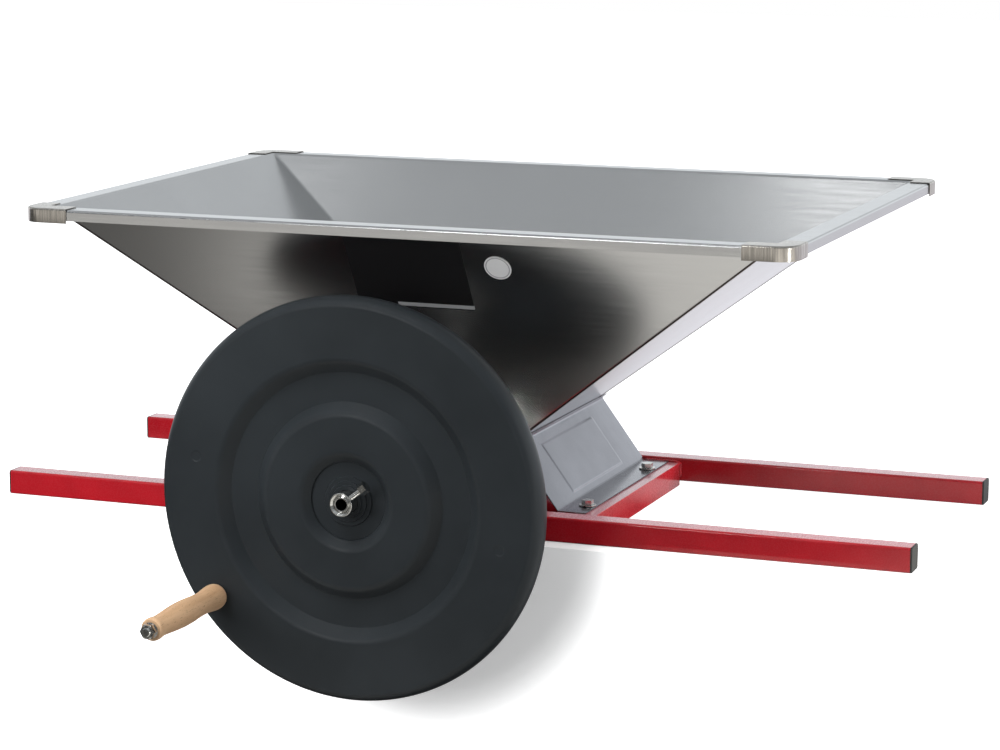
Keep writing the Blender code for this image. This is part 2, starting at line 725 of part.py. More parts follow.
def collar(name, axis, start):
    ring_piece(name, along_y, circle(COLLAR_RADIUS, SMALL), SHAFT_RADIUS + FIT_GAP,
               start, start + COLLAR_WIDTH, "zinc_plate", (0, 0, 0), axis)


def roller_pair(drive_axis, driven_axis):
    drive_front = HUB_FRONT + HUB_SHAFT_RECESS
    end_bore = [(END_BORE_RADIUS, drive_front + END_BORE_DEPTH), (END_BORE_RADIUS, drive_front)]
    shaft("drive_shaft", drive_axis, drive_front, end_bore)
    shaft("driven_shaft", driven_axis, -HALF_BAR - SHAFT_NOSE)
    roller("drive_roller", drive_axis, 0)
    roller("driven_roller", driven_axis, math.pi + math.pi / ROLLER_LOBES)
    gear("drive_gear", drive_axis, 0)
    gear("driven_gear", driven_axis, math.pi + math.pi / GEAR_TEETH)
    front = -HALF_BAR - FIT_GAP - COLLAR_WIDTH
    back = REAR_BAR_BACK + FIT_GAP
    collar("drive_front_collar", drive_axis, front)
    collar("driven_front_collar", driven_axis, front)
    collar("drive_rear_collar", drive_axis, back)
    collar("driven_rear_collar", driven_axis, back)


# Flywheel, built about its axis

def wheel_profile():
    """(radius, y) points of the moulded disc, the front face first."""
    flat_radius = WHEEL_RADIUS - WHEEL_RIM_ROUND
    bore = HUB_RADIUS + FIT_GAP
    # Three steps round the hub: shares of the hub's radius and of the recess's depth
    step_shares = ((0.00, 0.30), (0.30, 0.30), (0.36, 0.55), (0.66, 0.55), (0.72, 0.80),
                   (1.05, 0.80), (1.12, 1.00))
    front = [(bore + out * HUB_RADIUS, down * BOSS_RECESS_DEPTH) for out, down in step_shares]
    # The rings round them: shares of the wheel's radius and of the depth beside them
    recess_shares = ((0.196, 1.00), (0.228, 0.14), (0.248, 0.00))
    groove_shares = ((0.423, 0.00), (0.443, 0.14), (0.486, 1.00), (0.631, 1.00), (0.680, 0.14),
                     (0.700, 0.00))
    ring_points = [(share * WHEEL_RADIUS, part * depth)
                   for shares, depth in ((recess_shares, BOSS_RECESS_DEPTH),
                                         (groove_shares, GROOVE_DEPTH))
                   for share, part in shares]
    rim = []
    steps = 8
    for i in range(steps + 1):
        angle = math.pi * i / steps
        rim.append((flat_radius + WHEEL_RIM_ROUND * math.sin(angle),
                    WHEEL_THICKNESS / 2 * (1 - math.cos(angle))))
    back = [(radius, WHEEL_THICKNESS - depth) for radius, depth in reversed(ring_points)]
    back.append((bore, WHEEL_THICKNESS - BOSS_RECESS_DEPTH))
    profile = front + ring_points + rim + back
    return [(radius, WHEEL_FRONT + depth) for radius, depth in profile]


def flywheel(axis, grip_axis):
    wheel = add_object("flywheel", turned(wheel_profile(), FINE), "black_plastic", axis,
                       smooth=True)
    spindle_hole = prism(circle(SPINDLE_RADIUS + FIT_GAP, THREAD), along_y,
                         WHEEL_FRONT - OVERRUN, WHEEL_BACK + OVERRUN)
    cut(wheel, cutter("spindle_hole", spindle_hole, grip_axis))
    for number in range(HUB_SCREWS):
        angle = HUB_SCREW_TURN + math.tau * number / HUB_SCREWS
        spot = (HUB_SCREW_CIRCLE * math.cos(angle), 0, HUB_SCREW_CIRCLE * math.sin(angle))
        hole = prism(circle(M6_RADIUS + FIT_GAP, THREAD), along_y,
                     WHEEL_FRONT + BOSS_RECESS_DEPTH + M6_HEAD, WHEEL_BACK + OVERRUN)
        cut(wheel, cutter(f"flywheel_screw_hole_{number + 1}", hole, axis, spot))


def flywheel_hub(axis):
    """A steel sleeve with a flange that is screwed into the back of the wheel."""
    seat = WHEEL_BACK - BOSS_RECESS_DEPTH + FIT_GAP
    bore = SHAFT_RADIUS + FIT_GAP
    profile = [
        (bore + HUB_CHAMFER, HUB_FRONT), (HUB_RADIUS - HUB_CHAMFER / 2, HUB_FRONT),
        (HUB_RADIUS, HUB_FRONT + HUB_CHAMFER / 2), (HUB_RADIUS, seat),
        (HUB_FLANGE_RADIUS, seat), (HUB_FLANGE_RADIUS, seat + HUB_FLANGE),
        (HUB_RADIUS, seat + HUB_FLANGE), (HUB_RADIUS, HUB_BACK), (bore, HUB_BACK),
        (bore, HUB_FRONT + HUB_CHAMFER),
    ]
    hub = add_object("flywheel_hub", turned(profile, ROUND), "zinc_plate", axis, smooth=True)
    for number in range(HUB_SCREWS):
        angle = HUB_SCREW_TURN + math.tau * number / HUB_SCREWS
        spot = (HUB_SCREW_CIRCLE * math.cos(angle), 0, HUB_SCREW_CIRCLE * math.sin(angle))
        hole = prism(circle(M6_RADIUS + FIT_GAP, THREAD), along_y,
                     seat - OVERRUN / 2, seat + OVERRUN)
        cut(hub, cutter(f"hub_screw_hole_{number + 1}", hole, axis, spot))
        head_back = seat + HUB_FLANGE + FIT_GAP + M6_HEAD
        reach = head_back - M6_HEAD - (WHEEL_FRONT + BOSS_RECESS_DEPTH + M6_HEAD) - 2 * M6_RADIUS
        hex_bolt(f"hub_screw_{number + 1}", along_y, head_back, M6_HEAD, M6_FLATS, M6_RADIUS,
                 reach, spot, axis, sign=-1)
    return hub


def clamp_frame(axis):
    """An empty at the hub whose local Z points out along the clamp bolt."""
    empty = axis_empty("clamp_axis", (0, HUB_FRONT + CLAMP_BACK, 0), axis)
    empty.rotation_euler = (0, math.pi / 2 - CLAMP_ANGLE, 0)
    return empty


def clamp_bolt(axis, hub):
    """A bolt and nut that fix the hub on the shaft through the side of the sleeve."""
    frame = clamp_frame(axis)
    hole = prism(circle(M8_RADIUS + FIT_GAP, THREAD), along_z, HUB_RADIUS / 2,
                 HUB_RADIUS + OVERRUN)
    cut(hub, cutter("clamp_hole", hole, frame))
    tip = SHAFT_RADIUS + FIT_GAP
    reach = CLAMP_REACH - M8_HEAD - tip
    hex_bolt("hub_clamp_bolt", along_z, CLAMP_REACH, M8_HEAD, M8_FLATS, M8_RADIUS, reach,
             (0, 0, 0), frame, sign=-1)
    nut_top = CLAMP_REACH - M8_HEAD - FIT_GAP
    ring_piece("hub_clamp_nut", along_z, hexagon(M8_FLATS), M8_RADIUS + FIT_GAP,
               nut_top - M8_NUT / 2, nut_top, "zinc_plate", (0, 0, 0), frame)


# Handle, built about the grip's axis

def handle_grip(axis):
    """A turned wooden grip with a full end at the wheel and a neck near its tip."""
    outline_shares = ((0.000, 0.74), (0.012, 0.90), (0.035, 0.985), (0.080, 1.00), (0.150, 0.93),
                      (0.230, 0.86), (0.330, 0.88), (0.450, 0.945), (0.560, 0.97), (0.660, 0.94),
                      (0.760, 0.875), (0.850, 0.815), (0.910, 0.82), (0.955, 0.875),
                      (0.985, 0.87), (1.000, 0.77))
    profile = [(GRIP_BORE, GRIP_BACK)]
    profile += [(share * GRIP_RADIUS, GRIP_BACK - along * GRIP_LENGTH)
                for along, share in outline_shares]
    profile.append((GRIP_BORE, GRIP_FRONT))
    add_object("handle_grip", turned(profile, ROUND), "beech", axis, smooth=True)


def handle_spindle(axis):
    """A long bolt through wheel and grip, with its washer and nut at the tip."""
    washer_back = GRIP_FRONT - RUN_GAP
    washer_front = washer_back - M10_WASHER
    ring_piece("handle_washer", along_y, circle(M10_WASHER_RADIUS, SMALL),
               SPINDLE_RADIUS + FIT_GAP, washer_front, washer_back, "zinc_plate",
               (0, 0, 0), axis)
    nut_back = washer_front - FIT_GAP
    nut_front = nut_back - M10_NUT
    ring_piece("handle_nut", along_y, hexagon(M10_FLATS), SPINDLE_RADIUS + FIT_GAP,
               nut_front, nut_back, "zinc_plate", (0, 0, 0), axis)
    head_back = WHEEL_BACK + FIT_GAP + M10_HEAD
    reach = head_back - M10_HEAD - nut_front + SPINDLE_TAIL
    hex_bolt("handle_spindle", along_y, head_back, M10_HEAD, M10_FLATS, SPINDLE_RADIUS,
             reach, (0, 0, 0), axis, sign=-1)


def build():
    clear_scene()
    for bar_name, bar_y in (("front", 0), ("rear", BAR_SPACING)):
        frame_bar(f"{bar_name}_bar", bar_y)
        for side_name, side in (("left", -1), ("right", 1)):
            end_cap(f"{bar_name}_{side_name}_end_cap", side, bar_y)
            bearing_block(f"{bar_name}_{side_name}_bearing", side, bar_y)
    hopper()
    for y_name, side_y in (("front", -1), ("rear", 1)):
        end_plate(f"{y_name}_end_plate", side_y)
        for x_name, side_x in (("left", -1), ("right", 1)):
            rim_corner(f"{y_name}_{x_name}_rim_corner", side_x, side_y)
    name_plate()
    round_label()
    for side_name, side in (("left", -1), ("right", 1)):
        cross_member(f"{side_name}_cross_member", side)
        cover(f"{side_name}_cover", side)
        for end_name, end in (("front", -1), ("rear", 1)):
            cover_fastening(f"{side_name}_{end_name}_cover", side, end)
    drive_axis = axis_empty("drive_axis", (-AXIS_X, 0, SHAFT_HEIGHT))
    driven_axis = axis_empty("driven_axis", (AXIS_X, 0, SHAFT_HEIGHT))
    grip_spot = (GRIP_CIRCLE * math.cos(GRIP_ANGLE), 0, GRIP_CIRCLE * math.sin(GRIP_ANGLE))
    grip_axis = axis_empty("grip_axis", grip_spot, drive_axis)
    roller_pair(drive_axis, driven_axis)
    flywheel(drive_axis, grip_axis)
    hub = flywheel_hub(drive_axis)
    clamp_bolt(drive_axis, hub)
    handle_grip(grip_axis)
    handle_spindle(grip_axis)


build()
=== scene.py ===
"""Looks of the grape crusher: fine surfaces, finishes, studio and camera.

Metres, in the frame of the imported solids: X along the bars, Y to the back, +Z up,
with the origin under the middle of the front bar.
"""
from functools import cache
from math import cos, hypot, pi, radians, sin, sqrt, tan, tau

import bmesh
import bpy
from mathutils import Matrix, Vector


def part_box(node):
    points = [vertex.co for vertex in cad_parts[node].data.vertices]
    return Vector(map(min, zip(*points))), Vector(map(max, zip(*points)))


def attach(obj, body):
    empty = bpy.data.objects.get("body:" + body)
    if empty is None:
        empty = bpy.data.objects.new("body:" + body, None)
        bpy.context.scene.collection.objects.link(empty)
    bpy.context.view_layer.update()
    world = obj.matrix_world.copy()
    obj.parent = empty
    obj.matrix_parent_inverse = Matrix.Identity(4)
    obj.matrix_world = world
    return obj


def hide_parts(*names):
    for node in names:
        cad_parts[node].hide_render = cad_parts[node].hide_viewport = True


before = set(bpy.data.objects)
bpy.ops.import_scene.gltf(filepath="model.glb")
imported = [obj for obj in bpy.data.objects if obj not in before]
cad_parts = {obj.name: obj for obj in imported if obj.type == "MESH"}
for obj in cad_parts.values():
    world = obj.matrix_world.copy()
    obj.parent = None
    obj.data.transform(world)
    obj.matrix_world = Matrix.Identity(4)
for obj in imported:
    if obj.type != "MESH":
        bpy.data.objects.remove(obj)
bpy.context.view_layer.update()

# Camera, from the photo
CAMERA_PLACE = (1.3859, -3.3957, 0.8630)
CAMERA_DOWN = 0.1818  # radians below the horizon
CAMERA_TURN = 0.3679  # radians to the left of +Y
CAMERA_LENS = 112.18  # millimetres
CAMERA_SENSOR = 36  # millimetres wide

# Hopper and its rim
HOPPER_SHEET = 0.0012
THROAT_LENGTH = 0.160  # inside, at the bottom
THROAT_WIDTH = 0.2936
SEAM_RADIUS = 0.003  # inside the four folded wall corners
SEAM_WELD = 0.0012  # radius of the bead along each of them
SEAM_INSET = 0.0009  # of the bead's axis, from the corner of the outer faces
RIM_WIDTH = 0.028
RIM_LIP = 0.013
RIM_FOLD = 0.003  # radius of the rim's outer fold
RIM_BEND = 0.0028  # from the wall to the rim
RIM_CORNER = 0.024  # radius of the rim in plan
CORNER_SHEET = 0.0010
CORNER_FOLD = 0.0022

# Covers
COVER_SHEET = 0.0015
COVER_FOLD_X = 0.138  # where the panel meets its foot
COVER_LEAN_SHARE = 0.74  # sideways run for each unit of rise
COVER_LIP = 0.008
COVER_FOLD = 0.0028
FOLD_STEPS = 5
PRESSING_RISE = 0.0008
PRESSING_TAPER = 0.003
PRESSING_SIDE = 0.070  # from the end edges to the pressed rectangle
PRESSING_LOW = 0.010
PRESSING_HIGH = 0.016
PRESSING_CORNER = 0.002
FIT_GAP = 0.0003  # between pieces that touch

# Frame
BAR_WALL = 0.002
BAR_CORNER = 0.0028
CAP_HEAD = 0.002
CAP_ROUND = 0.0012
WELD_RADIUS = 0.0032
WELD_PITCH = 0.0028  # between the ripples of a bead
WELD_FOOT = 0.006  # lowest end of the upright beads

# Flywheel and hub
RIM_ROUND = 0.012
RECESS_DEPTH = 0.010
GROOVE_DEPTH = 0.012
HUB_RADIUS = 0.014
HUB_BORE = 0.0103
HUB_FLANGE = 0.004
CLAMP_BACK = 0.0075  # of the clamp bolt, behind the hub's front end
CLAMP_REACH = 0.0375  # from the axis to the end of the bolt's head
CLAMP_ANGLE = radians(38)
DIMPLE_CIRCLE = 0.195
DIMPLE_ANGLE = radians(168)
DIMPLE_RADIUS = 0.007
DIMPLE_FLAT = 0.00525  # radius of its flat middle

# Shafts and rollers
SHAFT_RADIUS = 0.010
END_BORE = 0.0072  # radius of the hole in the drive shaft's front end
END_BORE_DEPTH = 0.030
ROLLER_TIP = 0.043
ROLLER_LOBE = 0.004
ROLLER_LOBES = 6

# Fasteners: shank radius, width across the flats, head height, thread pitch
M6 = (0.003, 0.010, 0.004, 0.0010)
M8 = (0.004, 0.013, 0.0053, 0.00125)
M10 = (0.005, 0.016, 0.0064, 0.0015)
M8_THREAD = 0.006  # threaded length of the upright bolts
M10_THREAD = 0.016
NUT_M10 = 0.008
NUT_M8_THIN = 0.00325
THREAD_DEPTH_SHARE = 0.45  # of the pitch
HEX_SIDES = 72  # points round a hexagon
HEAD_CONE = radians(28)
HEAD_TURN = radians(23)
EDGE = 0.0004  # rounding of small turned and cut edges
CHAMFER = 0.0012  # of the ends of the hub, shafts and rollers
BEVEL_ANGLE = radians(35)

# Grip
GRIP_RADIUS = 0.0155
GRIP_BORE = 0.0056

# Bench and floor
BENCH_TOP = -0.0004
BENCH_FRONT = -0.040
MEMBER_CLEARANCE = 0.004  # under the cross members
STAGE_REACH = 9.0
FLOOR_Z = -0.235

# Surroundings: brightness by the upward part of the direction, behind and in front
SKY_BACK = ((-1.0, 0.70), (0.0, 1.0), (0.20, 1.05), (0.27, 0.70), (0.33, 0.40), (0.40, 0.60),
            (0.45, 0.70), (0.66, 0.46), (1.0, 0.42))
SKY_FRONT = ((-1.0, 0.10), (0.0, 0.12), (0.40, 0.20), (0.66, 0.46), (1.0, 0.42))
SKY_CHANGE = (-0.35, 0.15)  # Y of the direction, from the front to the back
SKY_TINT = (0.96, 1.0, 1.03)

# Painted reflections: the glow the paper shows in reflections, by place along X or along Y, in
# place of the lit and shaded floor
MIRRORED_ALONG = ((-0.75, 0.13), (-0.64, 0.17), (-0.57, 0.24), (-0.49, 0.44), (-0.30, 0.70),
                  (0.14, 0.84), (1.0, 0.90))
# Painted shade: the reflected paper is nearly black close to the front of the machine
MIRRORED_NEAR = ((-0.80, 0.15), (-0.50, 1.0), (-0.21, 1.0), (-0.16, 0.03), (0.25, 0.03),
                 (0.40, 1.0))
MIRRORED_BESIDE = ((0.2, 0.0), (0.35, 1.0))
MIRRORED_BACK = ((0.05, 1.0), (0.50, 0.80), (1.0, 0.72))
MIRRORED_DEEP = ((0.30, 0.40), (0.62, 0.85), (0.90, 1.05), (1.0, 1.05))
MIRRORED_FAR = ((-3.0, 0.85), (-2.2, 0.12), (0.3, 0.0))
MIRRORED_CHANGE = (0.25, 0.4)
FRONT_TINT = (1.0, 0.97, 0.91, 1)
BACK_TINT = (1.0, 0.99, 1.05, 1)

# How light the paper is for the camera: its glow by the distance from the darkest place
SHADOW_PLACE = (-0.02, -0.04, 0.028)
PAPER_GLOW = ((0.0, 0.27), (0.215, 0.32), (0.235, 0.50), (0.268, 1.0), (1.6, 1.1))
PAPER_SHADE = 0.75
# How light it is for the light that falls on the object from below, in front and behind
PAPER_FRONT = 0.28
PAPER_BACK = 0.75
PAPER_CHANGE = (-0.12, 0.0)

# Lamps: name, place, aim, size, watts, whether the metal shows it
LAMPS = (
    ("key", (-0.7, -1.5, 2.6), (0, 0.1, 0.1), (1.4, 1.0), 52, False),
    ("front_soft", (-0.9, -3.0, 1.3), (0, 0, 0), (0.7, 0.7), 13, True),
    ("left_near", (-0.75, -0.95, 0.35), (-0.05, -0.2, 0), (0.4, 0.4), 4.6, False),
    ("right_fill", (2.4, 0.0, 0.9), (0, 0.1, 0.1), (1.2, 1.2), 28, False),
    ("side_fill", (2.2, 1.6, 0.9), (0, 0.1, 0.1), (1.2, 1.2), 46, False),
    ("edge_light", (2.30, -0.85, 0.02), (0.47, -0.14, 0.38), (0.16, 0.40), 2.5, True),
    ("highlight", (-0.18, -0.79, 2.07), (0.41, 0.49, 0.375), (0.15, 0.19), 0.42, True),
    ("seam_highlight", (-1.35, -0.73, 1.94), (-0.40, 0.48, 0.36), (0.10, 0.40), 0.16, True),
)

SIDES_X = (("left", -1), ("right", 1))
SIDES_Y = (("front", -1), ("rear", 1))
FIELD_LOW, FIELD_HIGH = 0.3, 0.7  # most values of a noise lie between these
TINY = 0.000001

hopper_low, hopper_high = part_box("hopper")
RIM_TOP = hopper_high.z
MIDDLE_Y = (hopper_low.y + hopper_high.y) / 2
MOUTH_X = hopper_high.x - RIM_WIDTH
MOUTH_Y = hopper_high.y - MIDDLE_Y - RIM_WIDTH
DEPTH = hopper_high.z - hopper_low.z
SIDE_RUN = (MOUTH_X - THROAT_LENGTH / 2) / DEPTH
FRONT_RUN = (MOUTH_Y - THROAT_WIDTH / 2) / DEPTH
SIDE_OFFSET = hypot(1, SIDE_RUN)
FRONT_OFFSET = hypot(1, FRONT_RUN)


# Materials

class Nodes:
    """Short ways to add nodes to the tree of a material or a world."""

    def __init__(self, owner):
        owner.use_nodes = True
        self.tree = owner.node_tree

    def node(self, kind, inputs=None, **settings):
        """A new shader node with inputs, which are values or sockets to link."""
        node = self.tree.nodes.new("ShaderNode" + kind)
        for key, value in settings.items():
            setattr(node, key, value)
        for key, value in (inputs or {}).items():
            if isinstance(value, bpy.types.NodeSocket):
                self.tree.links.new(value, node.inputs[key])
            else:
                node.inputs[key].default_value = value
        return node

    def spread(self, value, low, high, to_low, to_high):
        return self.node("MapRange", {
            "Value": value, "From Min": low, "From Max": high,
            "To Min": to_low, "To Max": to_high}).outputs["Result"]

    def maths(self, operation, first, second=0.0):
        return self.node("Math", {0: first, 1: second}, operation=operation).outputs["Value"]

    def distance(self, place, middle):
        inputs = {0: place, 1: tuple(middle)}
        return self.node("VectorMath", inputs, operation="DISTANCE").outputs["Value"]

    def colours(self, value, stops, steps=False):
        """Colour of the surface by value: stops are (position, colour)."""
        ramp = self.node("ValToRGB", {"Fac": value})
        if steps:
            ramp.color_ramp.interpolation = "CONSTANT"
        elements = ramp.color_ramp.elements
        while len(elements) < len(stops):
            elements.new(0.5)
        for element, (position, colour) in zip(elements, stops):
            element.position = position
            element.color = (*colour, 1)
        return ramp.outputs["Color"]

    def graded(self, value, stops, low=-1, high=1):
        """Grey level by value: stops are (value, level), between low and high."""
        share = self.spread(value, low, high, 0, 1)
        ramp = [((at - low) / (high - low), (level, level, level)) for at, level in stops]
        return self.colours(share, ramp)

    def mixed(self, factor, first, second):
        """Shader between the first and the second."""
        return self.node("MixShader", {"Fac": factor, 1: first, 2: second}).outputs[0]

    def blended(self, factor, first, second):
        """Colour between the first and the second."""
        inputs = {0: factor, 6: opaque(first), 7: opaque(second)}
        return self.node("Mix", inputs, data_type="RGBA").outputs[2]

    def glow(self, colour, strength=1.0):
        return self.node("Emission", {"Color": colour, "Strength": strength}).outputs[0]

    def matt(self, colour):
        return self.node("BsdfDiffuse", {"Color": colour}).outputs[0]


class Finish(Nodes):
    """A Principled material whose procedural detail is placed in metres on the piece."""

    def __init__(self, name, colour, roughness, metallic=0.0, **sockets):
        self.material = bpy.data.materials.new(name)
        super().__init__(self.material)
        self.base = colour
        self.shader = self.tree.nodes["Principled BSDF"]
        sockets.update(Base_Color=(*colour, 1), Roughness=roughness, Metallic=metallic)
        for socket, value in sockets.items():
            self.shader.inputs[socket.replace("_", " ")].default_value = value
        self.place = self.node("TexCoord").outputs["Object"]
        self.last_bump = None

    def noise(self, per_metre, detail=3.0, stretch=(1, 1, 1), roughness=0.5):
        moved = self.node("Mapping", {"Vector": self.place, "Scale": stretch})
        return self.node("TexNoise", {
            "Vector": moved.outputs["Vector"], "Scale": per_metre, "Detail": detail,
            "Roughness": roughness}).outputs["Fac"]

    def part(self, axis):
        return self.node("SeparateXYZ", {"Vector": self.place}).outputs[axis]

    def axis_distance(self, middle):
        """Distance from the line along Y through the middle."""
        flat = self.node("VectorMath", {0: self.place, 1: (1, 0, 1)}, operation="MULTIPLY")
        return self.distance(flat.outputs["Vector"], (middle.x, 0, middle.z))

    def paint(self, colour):
        self.tree.links.new(colour, self.shader.inputs["Base Color"])

    def mottle(self, field, dark_share, light_share, low=FIELD_LOW, high=FIELD_HIGH):
        """Colour between two shares of the base colour, by the field."""
        self.paint(self.colours(field, [(low, shade(self.base, dark_share)),
                                        (high, shade(self.base, light_share))]))

    def rough(self, field, smooth, dull, low=FIELD_LOW, high=FIELD_HIGH):
        """Roughness between smooth and dull, by the field."""
        roughness = self.spread(field, low, high, smooth, dull)
        self.tree.links.new(roughness, self.shader.inputs["Roughness"])

    def bump(self, height, distance, strength=1.0):
        """Raise the surface by height times distance, on top of earlier bumps."""
        inputs = {"Height": height, "Distance": distance, "Strength": strength}
        if self.last_bump:
            inputs["Normal"] = self.last_bump
        self.last_bump = self.node("Bump", inputs).outputs["Normal"]
        self.tree.links.new(self.last_bump, self.shader.inputs["Normal"])


def shade(colour, share):
    return tuple(channel * share for channel in colour)


def opaque(colour):
    """Adds the alpha that a colour input takes, but leaves a socket as it is."""
    return (*colour, 1) if isinstance(colour, tuple) else colour


@cache
def stainless():
    finish = Finish("satin_stainless", (0.64, 0.645, 0.65), 0.23, 1.0)
    finish.mottle(finish.noise(7, 3), 0.97, 1.02)
    finish.rough(finish.noise(220, 4, stretch=(0.06, 1, 1)), 0.22, 0.26)
    finish.bump(finish.noise(1500, 3, stretch=(0.05, 1, 1)), 0.000006, 0.5)
    finish.bump(finish.noise(4, 1), 0.0004, 0.5)
    return finish.material


@cache
def welded_steel():
    finish = Finish("seam_weld", (0.12, 0.105, 0.10), 0.42, 1.0)
    ripple = finish.noise(500, 3)
    finish.mottle(ripple, 0.7, 1.3)
    finish.bump(ripple, 0.0001, 0.6)
    return finish.material


@cache
def brushed_corner():
    finish = Finish("brushed_stainless", (0.56, 0.53, 0.49), 0.27, 1.0)
    streak = finish.noise(450, 4, stretch=(1, 1, 0.03), roughness=0.65)
    finish.mottle(streak, 0.78, 1.15, low=0.36, high=0.64)
    finish.rough(streak, 0.28, 0.20)
    finish.bump(streak, 0.00004, 0.6)
    return finish.material


@cache
def galvanised():
    finish = Finish("galvanised_sheet", (0.355, 0.357, 0.39), 0.3, 1.0)
    finish.mottle(finish.noise(26, 4), 0.94, 1.05)
    finish.rough(finish.noise(90, 4), 0.16, 0.21)
    finish.bump(finish.noise(1500, 3), 0.000003, 0.5)
    return finish.material


@cache
def zinc_plate():
    finish = Finish("zinc_plate", (0.72, 0.72, 0.70), 0.24, 1.0)
    stain = finish.noise(350, 3)
    finish.mottle(stain, 0.85, 1.05, low=0.35, high=0.65)
    finish.rough(stain, 0.16, 0.24)
    finish.bump(finish.noise(3000, 2), 0.000004, 0.5)
    return finish.material


def bore_shaded_steel():
    """Plated steel, dull inside the bore at its front end, where painted shade makes it nearly
    black.
    """
    finish = Finish("bore_shaded_steel", (0.72, 0.72, 0.70), 0.2, 1.0)
    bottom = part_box("drive_shaft")[0].y + END_BORE_DEPTH
    away = finish.axis_distance(wheel_axis())
    inside = finish.spread(away, END_BORE, END_BORE + EDGE / 2, 1, 0)
    front = finish.spread(finish.part("Y"), bottom, bottom + EDGE, 1, 0)
    # Painted shade: inside the bore the steel's colour falls to a few per cent of itself
    dark = finish.maths("MULTIPLY", inside, front)
    bore_shade_share = 0.03
    finish.paint(finish.blended(dark, finish.base, shade(finish.base, bore_shade_share)))
    finish.rough(dark, 0.2, 0.7, low=0, high=1)
    return finish.material


@cache
def red_enamel():
    """Glossy paint with a faint orange peel, paler where it is seen at a low angle."""
    finish = Finish("red_enamel", (0.43, 0.010, 0.018), 0.26, 0.0, Specular_IOR_Level=0.1,
                    Coat_Weight=1.0, Coat_Roughness=0.10, Coat_IOR=1.52, Sheen_Weight=1.0,
                    Sheen_Roughness=0.22, Sheen_Tint=(0.86, 0.92, 1.0, 1.0))
    finish.mottle(finish.noise(25, 4), 0.9, 1.08)
    peel = finish.noise(650, 2)
    finish.rough(peel, 0.22, 0.32)
    finish.bump(peel, 0.00012, 0.5)
    return finish.material


def wheel_plastic():
    """Moulded plastic with two shallow round marks, opposite each other on the wheel's face."""
    finish = Finish("charcoal_plastic", (0.0225, 0.0265, 0.0298), 0.36, 0.0,
                    Specular_IOR_Level=0.2)
    finish.mottle(finish.noise(9, 5), 0.86, 1.16)
    grain = finish.noise(1300, 3)
    finish.rough(grain, 0.33, 0.42)
    finish.bump(grain, 0.00005, 0.5)
    for angle in (DIMPLE_ANGLE, DIMPLE_ANGLE + pi):
        middle = wheel_axis() + Vector((cos(angle), 0, sin(angle))) * DIMPLE_CIRCLE
        height = finish.spread(finish.axis_distance(middle), DIMPLE_FLAT, DIMPLE_RADIUS, 0, 1)
        finish.bump(height, 0.0006, 0.8)
    return finish.material


@cache
def dark_plastic():
    finish = Finish("cap_plastic", (0.024, 0.024, 0.023), 0.5)
    grain = finish.noise(1100, 3)
    finish.mottle(finish.noise(120, 3), 0.85, 1.2)
    finish.rough(grain, 0.44, 0.58)
    finish.bump(grain, 0.00005, 0.6)
    return finish.material


@cache
def nylon():
    finish = Finish("white_nylon", (0.74, 0.73, 0.68), 0.45, 0.0, Subsurface_Weight=0.15)
    finish.mottle(finish.noise(60, 3), 0.95, 1.03)
    finish.bump(finish.noise(700, 3), 0.00006, 0.5)
    return finish.material


@cache
def cast_aluminium():
    finish = Finish("cast_aluminium", (0.62, 0.62, 0.63), 0.42, 1.0)
    pits = finish.noise(420, 5)
    finish.mottle(pits, 0.80, 1.0, high=0.6)
    finish.rough(pits, 0.36, 0.55)
    finish.bump(pits, 0.00018, 0.7)
    return finish.material


@cache
def gear_iron():
    finish = Finish("gear_iron", (0.17, 0.17, 0.18), 0.46, 1.0)
    pits = finish.noise(300, 5)
    finish.mottle(pits, 0.7, 1.2)
    finish.rough(pits, 0.35, 0.6)
    finish.bump(pits, 0.00020, 0.7)
    return finish.material


def beech():
    """Turned wood with its grain along Y, and small dark flecks."""
    light, dark = (0.66, 0.43, 0.255), (0.53, 0.315, 0.17)
    warp_share, fleck_share = 0.4, 0.62
    finish = Finish("turned_beech", light, 0.5, 0.0, Specular_IOR_Level=0.35)
    warp = finish.noise(18, 2, stretch=(1, 0.2, 1))
    figure = finish.noise(150, 5, stretch=(1, 0.06, 1))
    rings = finish.maths("ADD", finish.maths("MULTIPLY", warp, warp_share),
                         finish.maths("MULTIPLY", figure, 1 - warp_share))
    wood = finish.colours(rings, [(0.40, dark), (0.60, light)])
    flecks = finish.spread(finish.noise(1500, 2, stretch=(1, 0.09, 1)), 0.62, 0.72, 0, 1)
    finish.paint(finish.blended(flecks, wood, shade(dark, fleck_share)))
    finish.bump(figure, 0.00008, 0.6)
    finish.rough(figure, 0.42, 0.58)
    return finish.material


def black_foil():
    """The plate's foil: black, with a plain pale band near its lower edge."""
    low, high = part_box("name_plate")
    black, pale = (0.012, 0.012, 0.013), (0.62, 0.63, 0.64)
    # Shares of the plate's length and height
    band_start, band_bottom, band_top = 0.34, 0.015, 0.07
    finish = Finish("black_foil", black, 0.28, 0.0, Specular_IOR_Level=0.5)
    up = finish.spread(finish.part("Z"), low.z, high.z, 0, 1)
    along = finish.spread(finish.part("X"), low.x, high.x, 0, 1)
    band = finish.colours(along, [(0.0, black), (band_start, pale)], steps=True)
    inside = finish.maths("MULTIPLY", finish.maths("GREATER_THAN", up, band_bottom),
                          finish.maths("LESS_THAN", up, band_top))
    finish.paint(finish.blended(inside, black, band))
    finish.bump(finish.noise(260, 2), 0.00004, 0.5)
    return finish.material


def white_foil():
    """The round label's foil: white, with a thin grey ring near its edge."""
    low, high, middle = extent("round_label")
    white, ring = (0.84, 0.84, 0.84), (0.42, 0.42, 0.43)
    ring_inner, ring_outer = 0.82, 0.90  # shares of the label's radius
    finish = Finish("white_foil", white, 0.4)
    away = finish.distance(finish.place, middle)
    share = finish.spread(away, 0, (high.x - low.x) / 2, 0, 1)
    finish.paint(finish.colours(share, [(0.0, white), (ring_inner, ring), (ring_outer, white)],
                                steps=True))
    finish.bump(finish.noise(260, 2), 0.00003, 0.5)
    return finish.material


# Outlines and meshes

